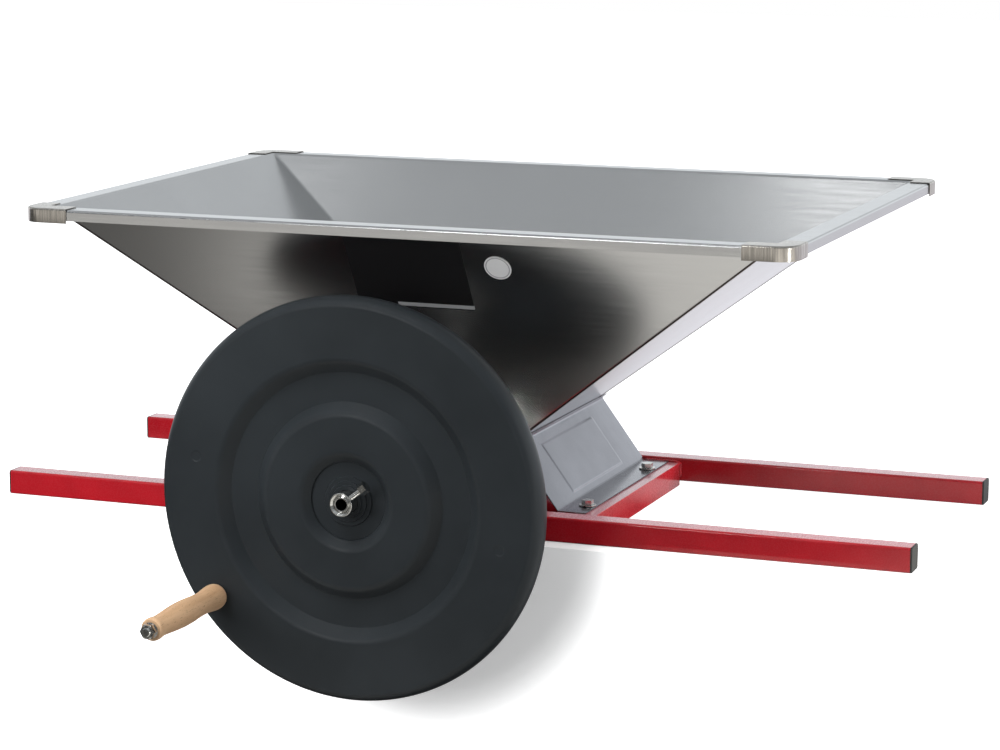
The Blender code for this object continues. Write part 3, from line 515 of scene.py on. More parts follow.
def filleted(points, steps):
    """The open line through (a, b, radius) points, with each corner rounded."""
    line = [Vector(points[0][:2])]
    for before, point, after in zip(points, points[1:], points[2:]):
        corner = Vector(point[:2])
        back = Vector(before[:2]) - corner
        ahead = Vector(after[:2]) - corner
        turn = pi - back.angle(ahead)
        most_share = 0.48
        reach = min(point[2] * tan(turn / 2), most_share * min(back.length, ahead.length))
        start = corner + back.normalized() * reach
        end = corner + ahead.normalized() * reach
        for i in range(steps + 1):
            t = i / steps
            line.append(start * (1 - t) ** 2 + corner * 2 * t * (1 - t) + end * t ** 2)
    line.append(Vector(points[-1][:2]))
    return line


def rounded_rectangle(half_a, half_b, radius, steps=8):
    points = []
    for number, (sign_a, sign_b) in enumerate(((1, 1), (-1, 1), (-1, -1), (1, -1))):
        for i in range(steps + 1):
            angle = pi / 2 * (number + i / steps)
            points.append((sign_a * (half_a - radius) + radius * cos(angle),
                           sign_b * (half_b - radius) + radius * sin(angle)))
    return points


def quarter(steps):
    """Angles of a quarter turn."""
    return [pi / 2 * i / steps for i in range(steps + 1)]


def circle(radius, count):
    turns = [tau * i / count for i in range(count)]
    return [(radius * cos(turn), radius * sin(turn)) for turn in turns]


def loft(loops, ring=False, bm=None):
    """Join loops of as many points by quads. A ring also joins the last to the first."""
    bm = bm or bmesh.new()
    rows = [[bm.verts.new(point) for point in loop] for loop in loops]
    pairs = list(zip(rows, rows[1:]))
    if ring:
        pairs.append((rows[-1], rows[0]))
    else:
        bm.faces.new(rows[0])
        bm.faces.new(rows[-1])
    for low, high in pairs:
        for i, corner in enumerate(low):
            j = (i + 1) % len(low)
            bm.faces.new((corner, low[j], high[j], high[i]))
    return bm


def surface(rows):
    """Join rows of as many points by quads, from the first row to the last."""
    bm = bmesh.new()
    lines = [[bm.verts.new(point) for point in row] for row in rows]
    for one, two in zip(lines, lines[1:]):
        for i in range(len(one) - 1):
            bm.faces.new((one[i], one[i + 1], two[i + 1], two[i]))
    return bm


def turned(profile, middle, count=96, ring=True):
    """Turn (radius, y) points about the line along Y through the middle."""
    loops = [[(middle.x + a, y, middle.z + b) for a, b in circle(radius, count)]
             for radius, y in profile]
    return loft(loops, ring)


def turned_about(place, profile, count=48, ring=True):
    """Turn (radius, height) points about local Z of the place, a matrix."""
    loops = [[place @ Vector((a, b, height)) for a, b in circle(radius, count)]
             for radius, height in profile]
    return loft(loops, ring)


def linked(name, data):
    item = bpy.data.objects.new(name, data)
    bpy.context.scene.collection.objects.link(item)
    return item


def meshed(name, bm, material):
    """A new object made from the bmesh, with its faces turned outwards."""
    bmesh.ops.recalc_face_normals(bm, faces=bm.faces)
    mesh = bpy.data.meshes.new(name)
    bm.to_mesh(mesh)
    bm.free()
    mesh.materials.append(material)
    return linked(name, mesh)


def add(name, bm, material, slot, body, *nodes, sharp=30):
    """A finished piece that rides on the body and stands for the nodes."""
    bmesh.ops.remove_doubles(bm, verts=bm.verts, dist=TINY)
    piece = meshed(name, bm, material)
    piece.data.shade_smooth()
    piece.data.set_sharp_from_angle(angle=radians(sharp))
    even_shading(piece)
    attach(piece, body)
    if nodes:
        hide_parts(*nodes)
    return piece


def even_shading(piece):
    piece.modifiers.new("even_shading", "WEIGHTED_NORMAL").keep_sharp = True


def thicken(piece, thickness):
    """Give a bent surface its sheet thickness, behind its outer face."""
    solid = piece.modifiers.new("sheet", "SOLIDIFY")
    solid.thickness = thickness
    solid.offset = -1
    solid.use_even_offset = True
    piece.modifiers.move(len(piece.modifiers) - 1, 0)


def dress(node, material, edge):
    """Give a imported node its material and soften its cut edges."""
    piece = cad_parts[node]
    piece.data.materials.clear()
    piece.data.materials.append(material)
    weld = piece.modifiers.new("weld", "WELD")
    weld.merge_threshold = TINY
    bevel = piece.modifiers.new("edges", "BEVEL")
    bevel.width = edge
    bevel.segments = 2
    bevel.limit_method = "ANGLE"
    bevel.angle_limit = BEVEL_ANGLE
    even_shading(piece)


def extent(node):
    """The low corner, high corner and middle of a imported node."""
    low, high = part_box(node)
    return low, high, (low + high) / 2


def wheel_axis():
    """The middle of the wheel, on the drive shaft's axis."""
    return extent("flywheel")[2]


def pointing(start, end):
    """A place at the start whose local Z points to the end."""
    turn = (end - start).to_track_quat("Z", "Y").to_matrix().to_4x4()
    return Matrix.Translation(start) @ turn


# Hopper

def plan(half_x, half_y, radius, z):
    return [(a, MIDDLE_Y + b, z) for a, b in rounded_rectangle(half_x, half_y, radius)]


def wall_reach(drop, out=0.0):
    """Half the length and width over the walls at that depth, on the inside or further out."""
    return (MOUTH_X - SIDE_RUN * drop + out * SIDE_OFFSET,
            MOUTH_Y - FRONT_RUN * drop + out * FRONT_OFFSET)


def wall_plan(drop, out=0.0):
    """The walls' plan at that depth below the rim."""
    return plan(*wall_reach(drop, out), SEAM_RADIUS + out, RIM_TOP - drop)


def rim_plan(inset, drop):
    """The rim's plan, that far inside its outer edge and below its top."""
    return plan(MOUTH_X + RIM_WIDTH - inset, MOUTH_Y + RIM_WIDTH - inset, RIM_CORNER - inset,
                RIM_TOP - drop)


def hopper():
    """One folded sheet: the walls inside, the bend, the rim and its lip, and back outside."""
    loops = [wall_plan(DEPTH)]
    bend_steps, fold_steps = 5, 6
    for i in range(bend_steps + 1):
        t = 1 - i / bend_steps
        out = RIM_BEND * (1 - t) ** 2
        down = RIM_BEND * t ** 2
        reach_x, reach_y = wall_reach(down)
        loops.append(plan(reach_x + out, reach_y + out, SEAM_RADIUS, RIM_TOP - down))
    for angle in quarter(fold_steps):
        loops.append(rim_plan(RIM_FOLD * (1 - sin(angle)), RIM_FOLD * (1 - cos(angle))))
    sheet = HOPPER_SHEET
    loops += [rim_plan(0, RIM_LIP), rim_plan(sheet, RIM_LIP), rim_plan(sheet, RIM_FOLD),
              rim_plan(RIM_FOLD, sheet), wall_plan(sheet, sheet), wall_plan(DEPTH, sheet)]
    add("hopper_sheet", loft(loops, ring=True), stainless(), "hopper_stainless", "frame",
        "hopper")


def seams():
    """Thin welds along the four folded corners of the walls, on the outside."""
    for x_name, side_x in SIDES_X:
        for y_name, side_y in SIDES_Y:
            ends = []
            for drop in (RIM_LIP, DEPTH - SEAM_WELD):
                reach_x, reach_y = wall_reach(drop, HOPPER_SHEET)
                ends.append(Vector((side_x * (reach_x - SEAM_INSET),
                                    MIDDLE_Y + side_y * (reach_y - SEAM_INSET), RIM_TOP - drop)))
            profile = [(SEAM_WELD, 0), (SEAM_WELD, (ends[1] - ends[0]).length)]
            bm = turned_about(pointing(*ends), profile, count=12, ring=False)
            add(f"{y_name}_{x_name}_seam", bm, welded_steel(), "hopper_stainless", "frame")


def rim_corner(node, side_x, side_y):
    """A folded cap over one corner of the rim."""
    low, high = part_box(node)
    end_x, edge_x = sorted((abs(low.x), abs(high.x)))
    end_y, edge_y = sorted((abs(low.y - MIDDLE_Y), abs(high.y - MIDDLE_Y)))
    radius = RIM_CORNER + CORNER_SHEET + FIT_GAP
    inner = (MOUTH_X + RIM_BEND, MOUTH_Y + RIM_BEND)
    arc_steps = 12
    # Each station: plan point on the outer edge, outward direction, inner end of the top
    stations = [((end_x, edge_y), (0, 1), (end_x, inner[1]))]
    for i in range(arc_steps + 1):
        angle = pi / 2 * (1 - i / arc_steps)
        out = (cos(angle), sin(angle))
        spot = (edge_x - radius + radius * out[0], edge_y - radius + radius * out[1])
        stations.append((spot, out, inner))
    stations.append(((edge_x, end_y), (1, 0), (inner[0], end_y)))
    rows = []
    for spot, out, inside in stations:
        row = [(*spot, low.z)]
        for angle in quarter(FOLD_STEPS):
            inset = CORNER_FOLD * (1 - cos(angle))
            row.append((spot[0] - out[0] * inset, spot[1] - out[1] * inset,
                        high.z - CORNER_FOLD * (1 - sin(angle))))
        row.append((*inside, high.z))
        rows.append([(side_x * x, MIDDLE_Y + side_y * y, z) for x, y, z in row])
    bm = surface(list(zip(*rows)))
    piece = add(f"{node}_cap", bm, brushed_corner(), "corner_steel", "frame", node, sharp=40)
    face_out(piece, Vector((side_x, side_y, 1)))
    thicken(piece, CORNER_SHEET)


def face_out(piece, direction):
    """Turn the whole surface round if most of it faces away from the direction."""
    mesh = piece.data
    facing = sum(polygon.normal.dot(direction) * polygon.area for polygon in mesh.polygons)
    if facing < 0:
        mesh.flip_normals()


# Covers

def cover_line():
    """(x, z, fold radius) of the right cover's outer face, from its foot to its lip."""
    low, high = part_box("right_cover")
    base = low.z + COVER_SHEET
    wall_gap = (HOPPER_SHEET + FIT_GAP + COVER_SHEET) * SIDE_OFFSET
    wall_at_zero = MOUTH_X - SIDE_RUN * RIM_TOP + wall_gap
    top_z = ((COVER_FOLD_X + COVER_LEAN_SHARE * base - wall_at_zero)
             / (SIDE_RUN + COVER_LEAN_SHARE))
    top_x = wall_at_zero + SIDE_RUN * top_z
    lip = (top_x + COVER_LIP * SIDE_RUN / SIDE_OFFSET, top_z + COVER_LIP / SIDE_OFFSET, 0)
    return [(high.x, base, 0), (COVER_FOLD_X, base, COVER_FOLD), (top_x, top_z, COVER_FOLD), lip]


def pressing(across, along, width, length):
    """Height of the pressed rectangle at a place on the panel."""
    half_a = width / 2 - PRESSING_SIDE - PRESSING_CORNER
    middle = (PRESSING_LOW + length - PRESSING_HIGH) / 2
    half_b = (length - PRESSING_HIGH - PRESSING_LOW) / 2 - PRESSING_CORNER
    out = Vector((max(abs(across - width / 2) - half_a, 0), max(abs(along - middle) - half_b, 0)))
    share = min(max((PRESSING_CORNER - out.length) / PRESSING_TAPER + 0.5, 0.0), 1.0)
    return PRESSING_RISE * (share * share * (3 - 2 * share))


def fine_lines(length, edges, reach, count=9):
    """Places from 0 to length, close together within reach of the edges."""
    lines = {0.0, length}
    for edge in edges:
        lines.update(edge + reach * (2 * i / count - 1) for i in range(count + 1))
    return sorted(lines)


def cover(node, side):
    """A bent sheet with a pressed rectangle in its leaning panel."""
    low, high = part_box(node)
    width = high.y - low.y
    points = cover_line()
    start, end = Vector(points[1][:2]), Vector(points[2][:2])
    rise = (end - start).normalized()
    outward = Vector((rise.y, -rise.x))
    length = (end - start).length
    line = filleted(points, FOLD_STEPS)
    along_lines = fine_lines(length, (PRESSING_LOW, length - PRESSING_HIGH), PRESSING_TAPER)
    panel_start = FOLD_STEPS + 2
    line[panel_start:panel_start] = [start + rise * along for along in along_lines[1:-1]]
    across_lines = fine_lines(width, (PRESSING_SIDE, width - PRESSING_SIDE), PRESSING_TAPER)
    rows = []
    for point in line:
        along = (point - start).dot(rise)
        spots = [(across, point + outward * pressing(across, along, width, length))
                 for across in across_lines]
        rows.append([(side * spot.x, low.y + across, spot.y) for across, spot in spots])
    piece = add(f"{node}_sheet", surface(rows), galvanised(), "zinc_sheet", "frame", node,
                sharp=50)
    face_out(piece, Vector((side, 0, 1)))
    thicken(piece, COVER_SHEET)


# Frame

def bar(node):
    """A square tube with open ends."""
    low, high, middle = extent(node)
    half = (high.z - low.z) / 2
    outer = rounded_rectangle(half, half, BAR_CORNER, steps=6)
    inner = rounded_rectangle(half - BAR_WALL, half - BAR_WALL, BAR_CORNER - BAR_WALL / 2, steps=6)
    loops = [[(x, middle.y + a, middle.z + b) for a, b in outline]
             for x, outline in ((low.x, outer), (high.x, outer), (high.x, inner), (low.x, inner))]
    add(f"{node}_tube", loft(loops, ring=True), red_enamel(), "red_paint", "frame", node)


def end_cap(node):
    """A plug whose square head has rounded edges and a shallow dish."""
    low, high, middle = extent(node)
    side = 1 if middle.x > 0 else -1
    face = high.x if side > 0 else low.x
    half = (high.z - low.z) / 2
    plug = half - BAR_WALL - FIT_GAP
    round_steps = 4
    # Half width of each section and its depth behind the outer face
    sections = [(plug, high.x - low.x), (plug, CAP_HEAD), (half, CAP_HEAD)]
    for angle in quarter(round_steps):
        sections.append((half - CAP_ROUND * (1 - cos(angle)), CAP_ROUND * (1 - sin(angle))))
    dish_edge_share, dish_share = 0.78, 0.70
    sections += [(half * dish_edge_share, 0), (half * dish_share, CAP_ROUND / 3)]
    loops = []
    for size, back in sections:
        outline = rounded_rectangle(size, size, BAR_CORNER, steps=round_steps)
        loops.append([(face - side * back, middle.y + a, middle.z + b) for a, b in outline])
    add(f"{node}_moulding", loft(loops), dark_plastic(), "cap_plastic", "frame", node)


def weld_bead(name, start, end):
    """A rippled bead between two points, painted over."""
    length = (end - start).length
    rows_per_ripple, fewest_rows = 6, 12
    rows = max(int(length / WELD_PITCH * rows_per_ripple), fewest_rows)
    taper_share, ripple_share, least_swell = 0.12, 0.16, 0.05
    profile = []
    for i in range(rows + 1):
        share = i / rows
        ripple = 1 - ripple_share * abs(cos(pi * share * length / WELD_PITCH))
        close = min(share, 1 - share) / taper_share
        swell = max(sqrt(min(close, 1.0)), least_swell)
        profile.append((WELD_RADIUS * ripple * swell, share * length))
    bm = turned_about(pointing(start, end), profile, count=12, ring=False)
    add(name, bm, red_enamel(), "red_paint", "frame", sharp=60)


def welds():
    """Beads where the cross members meet the bars: down their sides and along their tops."""
    for member_side, side in SIDES_X:
        low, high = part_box(f"{member_side}_cross_member")
        outer_x, inner_x = (high.x, low.x) if side > 0 else (low.x, high.x)
        for bar_side, y in (("front", low.y), ("rear", high.y)):
            name = f"{member_side}_{bar_side}_weld"
            corner = Vector((outer_x, y, high.z))
            weld_bead(f"{name}_side", Vector((outer_x, y, WELD_FOOT)), corner)
            weld_bead(f"{name}_top", corner, Vector((inner_x, y, high.z)))


# Flywheel

def flywheel():
    """The moulded disc, with its rings on both faces."""
    low, high, middle = extent("flywheel")
    radius = (high.x - low.x) / 2
    thickness = high.y - low.y
    bore = HUB_RADIUS + FIT_GAP
    soft, crisp, sharp_edge = 0.012, 0.0008, 0.0003  # how corners are rounded
    ledge_share = 0.8
    # Steps round the hub: shares of the hub's radius and of the recess's depth
    step_shares = ((0.00, 0.30), (0.30, 0.30), (0.36, 0.55), (0.66, 0.55), (0.72, 0.80),
                   (1.05, 0.80), (1.12, 1.00))
    front = [(bore + out * HUB_RADIUS, down * RECESS_DEPTH, EDGE) for out, down in step_shares]
    # Rings round them: shares of the wheel's radius, depth, rounding of the corner
    rings = [(0.193, RECESS_DEPTH, sharp_edge),
             (0.196, RECESS_DEPTH * ledge_share, sharp_edge), (0.238, 0, soft), (0.433, 0, soft),
             (0.486, GROOVE_DEPTH, crisp), (0.631, GROOVE_DEPTH, crisp), (0.690, 0, soft)]
    ring_points = [(share * radius, depth, rounding) for share, depth, rounding in rings]
    flat = radius - RIM_ROUND
    back = [(a, thickness - depth, rounding) for a, depth, rounding in reversed(ring_points)]
    front_line = filleted(front + ring_points + [(flat, 0, 0)], steps=7)
    back_line = filleted([(flat, thickness, 0)] + back + [(bore, thickness - RECESS_DEPTH, 0)],
                         steps=7)
    rim_steps = 28
    turns = [pi * i / rim_steps for i in range(1, rim_steps)]
    rim = [(flat + RIM_ROUND * sin(turn), thickness / 2 * (1 - cos(turn))) for turn in turns]
    profile = [(a, low.y + depth) for a, depth in [*front_line, *rim, *back_line]]
    add("flywheel_moulding", turned(profile, middle, 240), wheel_plastic(), "wheel_plastic",
        "crank", "flywheel", sharp=28)


def flywheel_hub():
    """Sleeve and flange, turned from one piece."""
    low, high, middle = extent("flywheel_hub")
    flange_radius = (high.x - low.x) / 2
    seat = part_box("flywheel")[1].y - RECESS_DEPTH + FIT_GAP
    bore, sleeve, cut = HUB_BORE, HUB_RADIUS, CHAMFER
    corners = [
        (bore, middle.y, 0), (bore, low.y + cut * 2, EDGE),
        (bore + cut * 2, low.y, EDGE), (sleeve - cut / 2, low.y, EDGE),
        (sleeve, low.y + cut / 2, EDGE), (sleeve, seat, 0), (flange_radius, seat, EDGE),
        (flange_radius, seat + HUB_FLANGE, EDGE), (sleeve, seat + HUB_FLANGE, cut),
        (sleeve, high.y, EDGE), (bore, high.y, EDGE), (bore, middle.y, 0)]
    line = filleted(corners, steps=3)[:-1]
    add("flywheel_hub_turning", turned(line, middle, 96), zinc_plate(), "zinc_plated",
        "crank", "flywheel_hub")


def clamp_place():
    """Local Z points out along the clamp bolt, from the shaft's axis."""
    middle = wheel_axis()
    hub_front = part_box("flywheel_hub")[0].y
    spot = Vector((middle.x, hub_front + CLAMP_BACK, middle.z))
    return Matrix.Translation(spot) @ Matrix.Rotation(pi / 2 - CLAMP_ANGLE, 4, "Y")


# Fasteners

def hex_loops(flats, bottom, top, count, both_ends=False):
    """Loops of a hexagon whose corners are cut by a cone, at its top or at both ends."""
    sector, slope, face_share = tau / 6, tan(HEAD_CONE), 0.94
    low, high = [], []
    for i in range(count):
        turn = tau * i / count
        radius = flats / 2 / cos(turn % sector - sector / 2)
        drop = (radius - flats / 2) * slope
        a, b = radius * cos(turn), radius * sin(turn)
        low.append((a, b, bottom + drop if both_ends else bottom))
        high.append((a, b, top - drop))
    return [low, high, circle_at(flats / 2 * face_share, top, count)]


def thread_loops(radius, pitch, start, end, count=24):
    """Loops of a helical thread from start to end."""
    rows_per_turn, plain_turns = 6, 0.5
    depth = pitch * THREAD_DEPTH_SHARE
    rows = max(int(abs(end - start) / pitch * rows_per_turn), 2)
    loops = []
    for row in range(rows + 1):
        height = start + (end - start) * row / rows
        edge = min(row, rows - row) / rows_per_turn
        loop = []
        for i in range(count):
            phase = (height / pitch - i / count) % 1
            cut = depth * abs(2 * phase - 1) if edge > plain_turns else depth
            turn = tau * i / count
            loop.append(((radius - cut) * cos(turn), (radius - cut) * sin(turn), height))
        loops.append(loop)
    return loops


def circle_at(radius, height, count=32):
    return [(a, b, height) for a, b in circle(radius, count)]


def placed(place, loops):
    """The loops of points, moved from local to world places."""
    return [[place @ Vector(point) for point in loop] for loop in loops]


def add_steel(node, bm, body, finish=zinc_plate):
    add(f"{node}_steel", bm, finish(), "zinc_plated", body, node)


def bolt(node, size, place, length, body, threaded=0.0):
    """A bolt whose head's top is at the place's origin, with its shank along local -Z."""
    radius, flats, head, pitch = size
    tip = -length
    shank = [circle_at(radius, -head + EDGE)]
    shapes = [hex_loops(flats, -head, 0, HEX_SIDES), shank]
    if threaded:
        shank.append(circle_at(radius, tip + threaded))
        shapes.append(thread_loops(radius, pitch, tip + threaded, tip))
    else:
        shank += [circle_at(radius, tip + EDGE), circle_at(radius - EDGE, tip)]
    bm = bmesh.new()
    for loops in shapes:
        loft(placed(place, loops), bm=bm)
    add_steel(node, bm, body)


def nut(node, size, place, height, body):
    """A hexagon nut that stands on the place's origin."""
    bore = size[0] + FIT_GAP
    outer = hex_loops(size[1], 0, height, HEX_SIDES, both_ends=True)
    base = [(a, b, 0) for a, b, _ in outer[-1]]
    # Down through the bore, whose ends are broken
    hole = [circle_at(radius, z, HEX_SIDES) for radius, z in (
        (bore + EDGE, height), (bore, height - EDGE), (bore, EDGE), (bore + EDGE, 0))]
    loops = [base, *outer, *hole]
    add_steel(node, loft(placed(place, loops), ring=True), body)


def washer(node, size, place, outer, thickness, body):
    """A flat washer that stands on the place's origin."""
    bore = size[0] + FIT_GAP
    corners = [(outer, thickness / 2, 0), (outer, thickness, EDGE), (bore, thickness, EDGE),
               (bore, 0, EDGE), (outer, 0, EDGE), (outer, thickness / 2, 0)]
    line = filleted(corners, steps=3)[:-1]
    add_steel(node, turned_about(place, line, 64), body)


def upright_bolts():
    """The bolts with their heads up, on the covers and the bearing blocks."""
    for node in sorted(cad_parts):
        low, high, middle = extent(node)
        if "_bearing_bolt_" in node or node.endswith("_cover_bolt"):
            turn = Matrix.Rotation(HEAD_TURN * (1 + middle.x), 4, "Z")
            place = Matrix.Translation((middle.x, middle.y, high.z)) @ turn
            bolt(node, M8, place, high.z - low.z, "frame", M8_THREAD)
        elif node.endswith("_cover_washer"):
            place = Matrix.Translation((middle.x, middle.y, low.z))
            washer(node, M8, place, (high.x - low.x) / 2, high.z - low.z, "frame")


def along_y(node, facing):
    """The node's back end with local Z pointing back (1) or forward (-1), length and radius."""
    low, high, middle = extent(node)
    turn = Matrix.Rotation(-facing * pi / 2, 4, "X")
    place = Matrix.Translation((middle.x, high.y, middle.z)) @ turn
    return place, high.y - low.y, (high.x - low.x) / 2


def wheel_fasteners():
    """Hub screws, the clamp bolt with its nut, and the handle's bolt."""
    for node in sorted(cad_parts):
        if node.startswith("hub_screw_"):
            place, length, _ = along_y(node, 1)
            bolt(node, M6, place, length, "crank")
    out = clamp_place()
    top = out @ Matrix.Translation((0, 0, CLAMP_REACH))
    bolt("hub_clamp_bolt", M8, top, CLAMP_REACH - SHAFT_RADIUS - FIT_GAP, "crank",
         CLAMP_REACH - HUB_RADIUS - M8[2])
    nut_base = CLAMP_REACH - M8[2] - FIT_GAP - NUT_M8_THIN
    nut("hub_clamp_nut", M8, out @ Matrix.Translation((0, 0, nut_base)), NUT_M8_THIN, "crank")
    place, length, _ = along_y("handle_spindle", 1)
    bolt("handle_spindle", M10, place, length, "crank", M10_THREAD)
    place, thickness, outer = along_y("handle_washer", -1)
    washer("handle_washer", M10, place, outer, thickness, "crank")
    nut("handle_nut", M10, along_y("handle_nut", -1)[0], NUT_M10, "crank")


# Grip

def handle_grip():
    """A turned grip: a full round end at the wheel, a waist, a swell and a neck."""
    low, high, middle = extent("handle_grip")
    length = high.y - low.y
    # Shares of the length, from the wheel, and of the largest radius
    outline_shares = ((0.000, 0.74), (0.012, 0.90), (0.035, 0.985), (0.080, 1.00), (0.150, 0.93),
                      (0.230, 0.86), (0.330, 0.88), (0.450, 0.945), (0.560, 0.97), (0.660, 0.94),
                      (0.760, 0.875), (0.850, 0.815), (0.910, 0.82), (0.955, 0.875),
                      (0.985, 0.87), (1.000, 0.77))
    knots = [Vector((GRIP_RADIUS * wide, high.y - along * length))
             for along, wide in outline_shares]
    line = [Vector((GRIP_BORE, high.y)), *smooth_line(knots, 6), Vector((GRIP_BORE, low.y))]
    bm = turned(line, middle, 72)
    add("handle_grip_wood", bm, beech(), "beech", "grip", "handle_grip", sharp=45)


def smooth_line(knots, steps):
    """A curve through the knots, with steps places between each pair."""
    points = [knots[0], *knots, knots[-1]]
    line = []
    for a, b, c, d in zip(points, points[1:], points[2:], points[3:]):
        for i in range(steps):
            t = i / steps
            line.append((b * 2 + (c - a) * t + (a * 2 - b * 5 + c * 4 - d) * t ** 2
                         + (b * 3 - a - c * 3 + d) * t ** 3) / 2)
    line.append(knots[-1])
    return line


# Shafts, rollers and collars

def shafts():
    """Two round shafts. The drive shaft has a bore in its front end."""
    for node, body in (("drive_shaft", "crank"), ("driven_shaft", "idler")):
        low, high, middle = extent(node)
        radius, narrow, finish = SHAFT_RADIUS, SHAFT_RADIUS - CHAMFER, zinc_plate
        corners = [(TINY, low.y, 0)]
        if body == "crank":
            finish, bottom = bore_shaded_steel, low.y + END_BORE_DEPTH
            corners = [(TINY, bottom, 0), (END_BORE, bottom, 0),
                       (END_BORE, low.y + EDGE, EDGE), (END_BORE + EDGE, low.y, EDGE)]
        corners += [(narrow, low.y, EDGE), (radius, low.y + CHAMFER, EDGE),
                    (radius, high.y - CHAMFER, EDGE), (narrow, high.y, EDGE),
                    (TINY, high.y, 0)]
        bm = turned(filleted(corners, steps=3), middle, 64, ring=False)
        add_steel(node, bm, body, finish)


def collars():
    """Rings on the shafts, beside the bearings."""
    for node in sorted(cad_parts):
        if node.endswith("_collar"):
            low, high, middle = extent(node)
            outer, bore = (high.x - low.x) / 2, SHAFT_RADIUS + FIT_GAP
            corners = [(outer, middle.y, 0), (outer, high.y, EDGE * 2), (bore, high.y, EDGE),
                       (bore, low.y, EDGE), (outer, low.y, EDGE * 2), (outer, middle.y, 0)]
            body = "crank" if node.startswith("drive_") else "idler"
            add_steel(node, turned(filleted(corners, steps=3)[:-1], middle, 64), body)


def roller(shaft, body, turn):
    """A cast roller with rounded lobes and broken ends, on its shaft."""
    node = f"{shaft}_roller"
    low, high, middle = extent(node)
    axis_x = extent(f"{shaft}_shaft")[2].x
    per_lobe = 20
    count = ROLLER_LOBES * per_lobe

    def section(y, inset):
        loop = []
        for i in range(count):
            angle = tau * i / count
            wave = ROLLER_LOBE / 2 * cos(ROLLER_LOBES * (angle - turn))
            radius = ROLLER_TIP - ROLLER_LOBE / 2 - inset + wave
            loop.append((axis_x + radius * cos(angle), y, middle.z + radius * sin(angle)))
        return loop

    hole = [[(axis_x + a, y, middle.z + b) for a, b in circle(SHAFT_RADIUS + FIT_GAP, count)]
            for y in (high.y, low.y)]
    loops = [section(low.y, CHAMFER), section(low.y + CHAMFER, 0),
             section(high.y - CHAMFER, 0), section(high.y, CHAMFER), *hole]
    add(f"{node}_casting", loft(loops, ring=True), cast_aluminium(), "roller_aluminium", body,
        node)


# Studio

def grey(level):
    return (level, level, level, 1)


def studio():
    """Soft light from all round, with white behind the object for the camera."""
    world = bpy.data.worlds.new("studio")
    bpy.context.scene.world = world
    nodes = Nodes(world)
    nodes.tree.nodes.clear()
    direction = nodes.node("TexCoord").outputs["Generated"]
    parts = nodes.node("SeparateXYZ", {0: direction}).outputs
    behind = nodes.spread(parts["Y"], *SKY_CHANGE, 0, 1)
    sky = nodes.blended(behind, nodes.graded(parts["Z"], SKY_FRONT),
                        nodes.graded(parts["Z"], SKY_BACK))
    tinted = nodes.node("VectorMath", {0: sky, 1: SKY_TINT}, operation="MULTIPLY")
    around = nodes.node("Background", {"Color": tinted.outputs[0]}).outputs[0]
    white = nodes.node("Background", {"Color": grey(1)}).outputs[0]
    rays = nodes.node("LightPath").outputs
    seen = nodes.maths("MAXIMUM", rays["Is Camera Ray"], rays["Is Transmission Ray"])
    nodes.node("OutputWorld", {"Surface": nodes.mixed(seen, around, white)})


def softbox(name, place, aim, size, power, mirrored):
    """A lamp that lights the object and, where mirrored, also shows in its metal."""
    lamp = bpy.data.lights.new(name, "AREA")
    lamp.shape = "RECTANGLE"
    lamp.size, lamp.size_y = size
    lamp.energy = power
    box = linked(name, lamp)
    box.visible_camera = False
    box.visible_glossy = mirrored
    box.location = place
    box.rotation_euler = (Vector(aim) - Vector(place)).to_track_quat("-Z", "Y").to_euler()


@cache
def paper():
    """White paper that keeps the object's shadow, with painted glow and painted shade in
    reflections.
    """
    material = bpy.data.materials.new("studio_paper")
    nodes = Nodes(material)
    nodes.tree.nodes.clear()
    place = nodes.node("NewGeometry").outputs["Position"]
    parts = nodes.node("SeparateXYZ", {0: place}).outputs
    rays = nodes.node("LightPath").outputs
    # Painted reflections: glow levels by place, with painted shade close to the machine
    near = nodes.graded(parts["Y"], MIRRORED_NEAR)
    beside = nodes.graded(parts["X"], MIRRORED_BESIDE)
    shaded = nodes.maths("MULTIPLY", nodes.graded(parts["X"], MIRRORED_ALONG),
                         nodes.maths("MAXIMUM", near, beside))
    front = nodes.maths("MAXIMUM", shaded, nodes.graded(parts["Y"], MIRRORED_FAR, low=-4))
    back = nodes.maths("MULTIPLY", nodes.graded(parts["X"], MIRRORED_BACK, low=0),
                       nodes.graded(parts["Y"], MIRRORED_DEEP, low=0))
    mirrored = nodes.mixed(nodes.spread(parts["Y"], *MIRRORED_CHANGE, 0, 1),
                           nodes.glow(FRONT_TINT, front), nodes.glow(BACK_TINT, back))
    tone = nodes.spread(parts["Y"], *PAPER_CHANGE, PAPER_FRONT, PAPER_BACK)
    plain = nodes.mixed(rays["Is Glossy Ray"], nodes.matt(tone), mirrored)
    glow = nodes.graded(nodes.distance(place, SHADOW_PLACE), PAPER_GLOW, low=0, high=2)
    seen = nodes.node("AddShader", {
        0: nodes.matt(grey(PAPER_SHADE)), 1: nodes.glow(grey(1), glow)}).outputs[0]
    nodes.node("OutputMaterial", {"Surface": nodes.mixed(rays["Is Camera Ray"], plain, seen)})
    return material


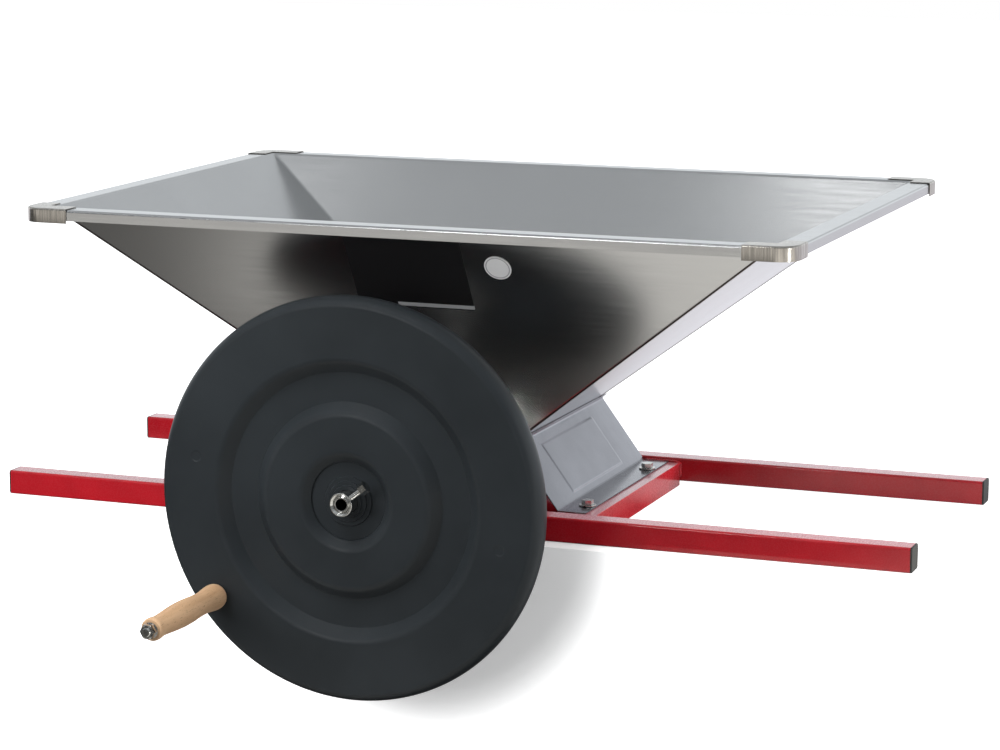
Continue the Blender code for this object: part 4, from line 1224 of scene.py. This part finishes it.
def bench_and_floor():
    """A white bench under the two bars, with the wheel hanging clear in front of it."""
    front_bar, rear_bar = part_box("front_bar"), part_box("rear_bar")
    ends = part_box("left_cross_member")[0].z - MEMBER_CLEARANCE
    outline = [(BENCH_FRONT, FLOOR_Z), (BENCH_FRONT, BENCH_TOP), (front_bar[1].y, BENCH_TOP),
               (front_bar[1].y, ends), (rear_bar[0].y, ends), (rear_bar[0].y, BENCH_TOP),
               (STAGE_REACH, BENCH_TOP), (STAGE_REACH, FLOOR_Z)]
    sides = (-STAGE_REACH, STAGE_REACH)
    bench = loft([[(x, y, z) for y, z in outline] for x in sides])
    floor = surface([[(x, y, FLOOR_Z) for x in sides] for y in (-STAGE_REACH, BENCH_FRONT)])
    meshed("bench", bench, paper())
    meshed("floor", floor, paper())


def camera():
    """The photo's camera."""
    data = bpy.data.cameras.new("camera")
    data.sensor_width = CAMERA_SENSOR
    data.lens = CAMERA_LENS
    eye = linked("camera", data)
    eye.location = CAMERA_PLACE
    eye.rotation_euler = (pi / 2 - CAMERA_DOWN, 0, CAMERA_TURN)
    bpy.context.scene.camera = eye


def build():
    """The whole object and the studio round it."""
    hopper()
    seams()
    for y_name, side_y in SIDES_Y:
        bar(f"{y_name}_bar")
        dress(f"{y_name}_end_plate", galvanised(), EDGE)
        for x_name, side_x in SIDES_X:
            rim_corner(f"{y_name}_{x_name}_rim_corner", side_x, side_y)
            end_cap(f"{y_name}_{x_name}_end_cap")
            dress(f"{y_name}_{x_name}_bearing", nylon(), EDGE * 2)
    for x_name, side_x in SIDES_X:
        cover(f"{x_name}_cover", side_x)
        dress(f"{x_name}_cross_member", red_enamel(), EDGE)
    welds()
    dress("name_plate", black_foil(), EDGE / 8)
    dress("round_label", white_foil(), EDGE / 8)
    flywheel()
    flywheel_hub()
    upright_bolts()
    wheel_fasteners()
    handle_grip()
    shafts()
    collars()
    roller("drive", "crank", 0)
    roller("driven", "idler", pi + pi / ROLLER_LOBES)
    dress("drive_gear", gear_iron(), EDGE)
    dress("driven_gear", gear_iron(), EDGE)
    bench_and_floor()
    studio()
    for lamp in LAMPS:
        softbox(*lamp)
    camera()
    bpy.context.scene.view_settings.view_transform = "Standard"


build()
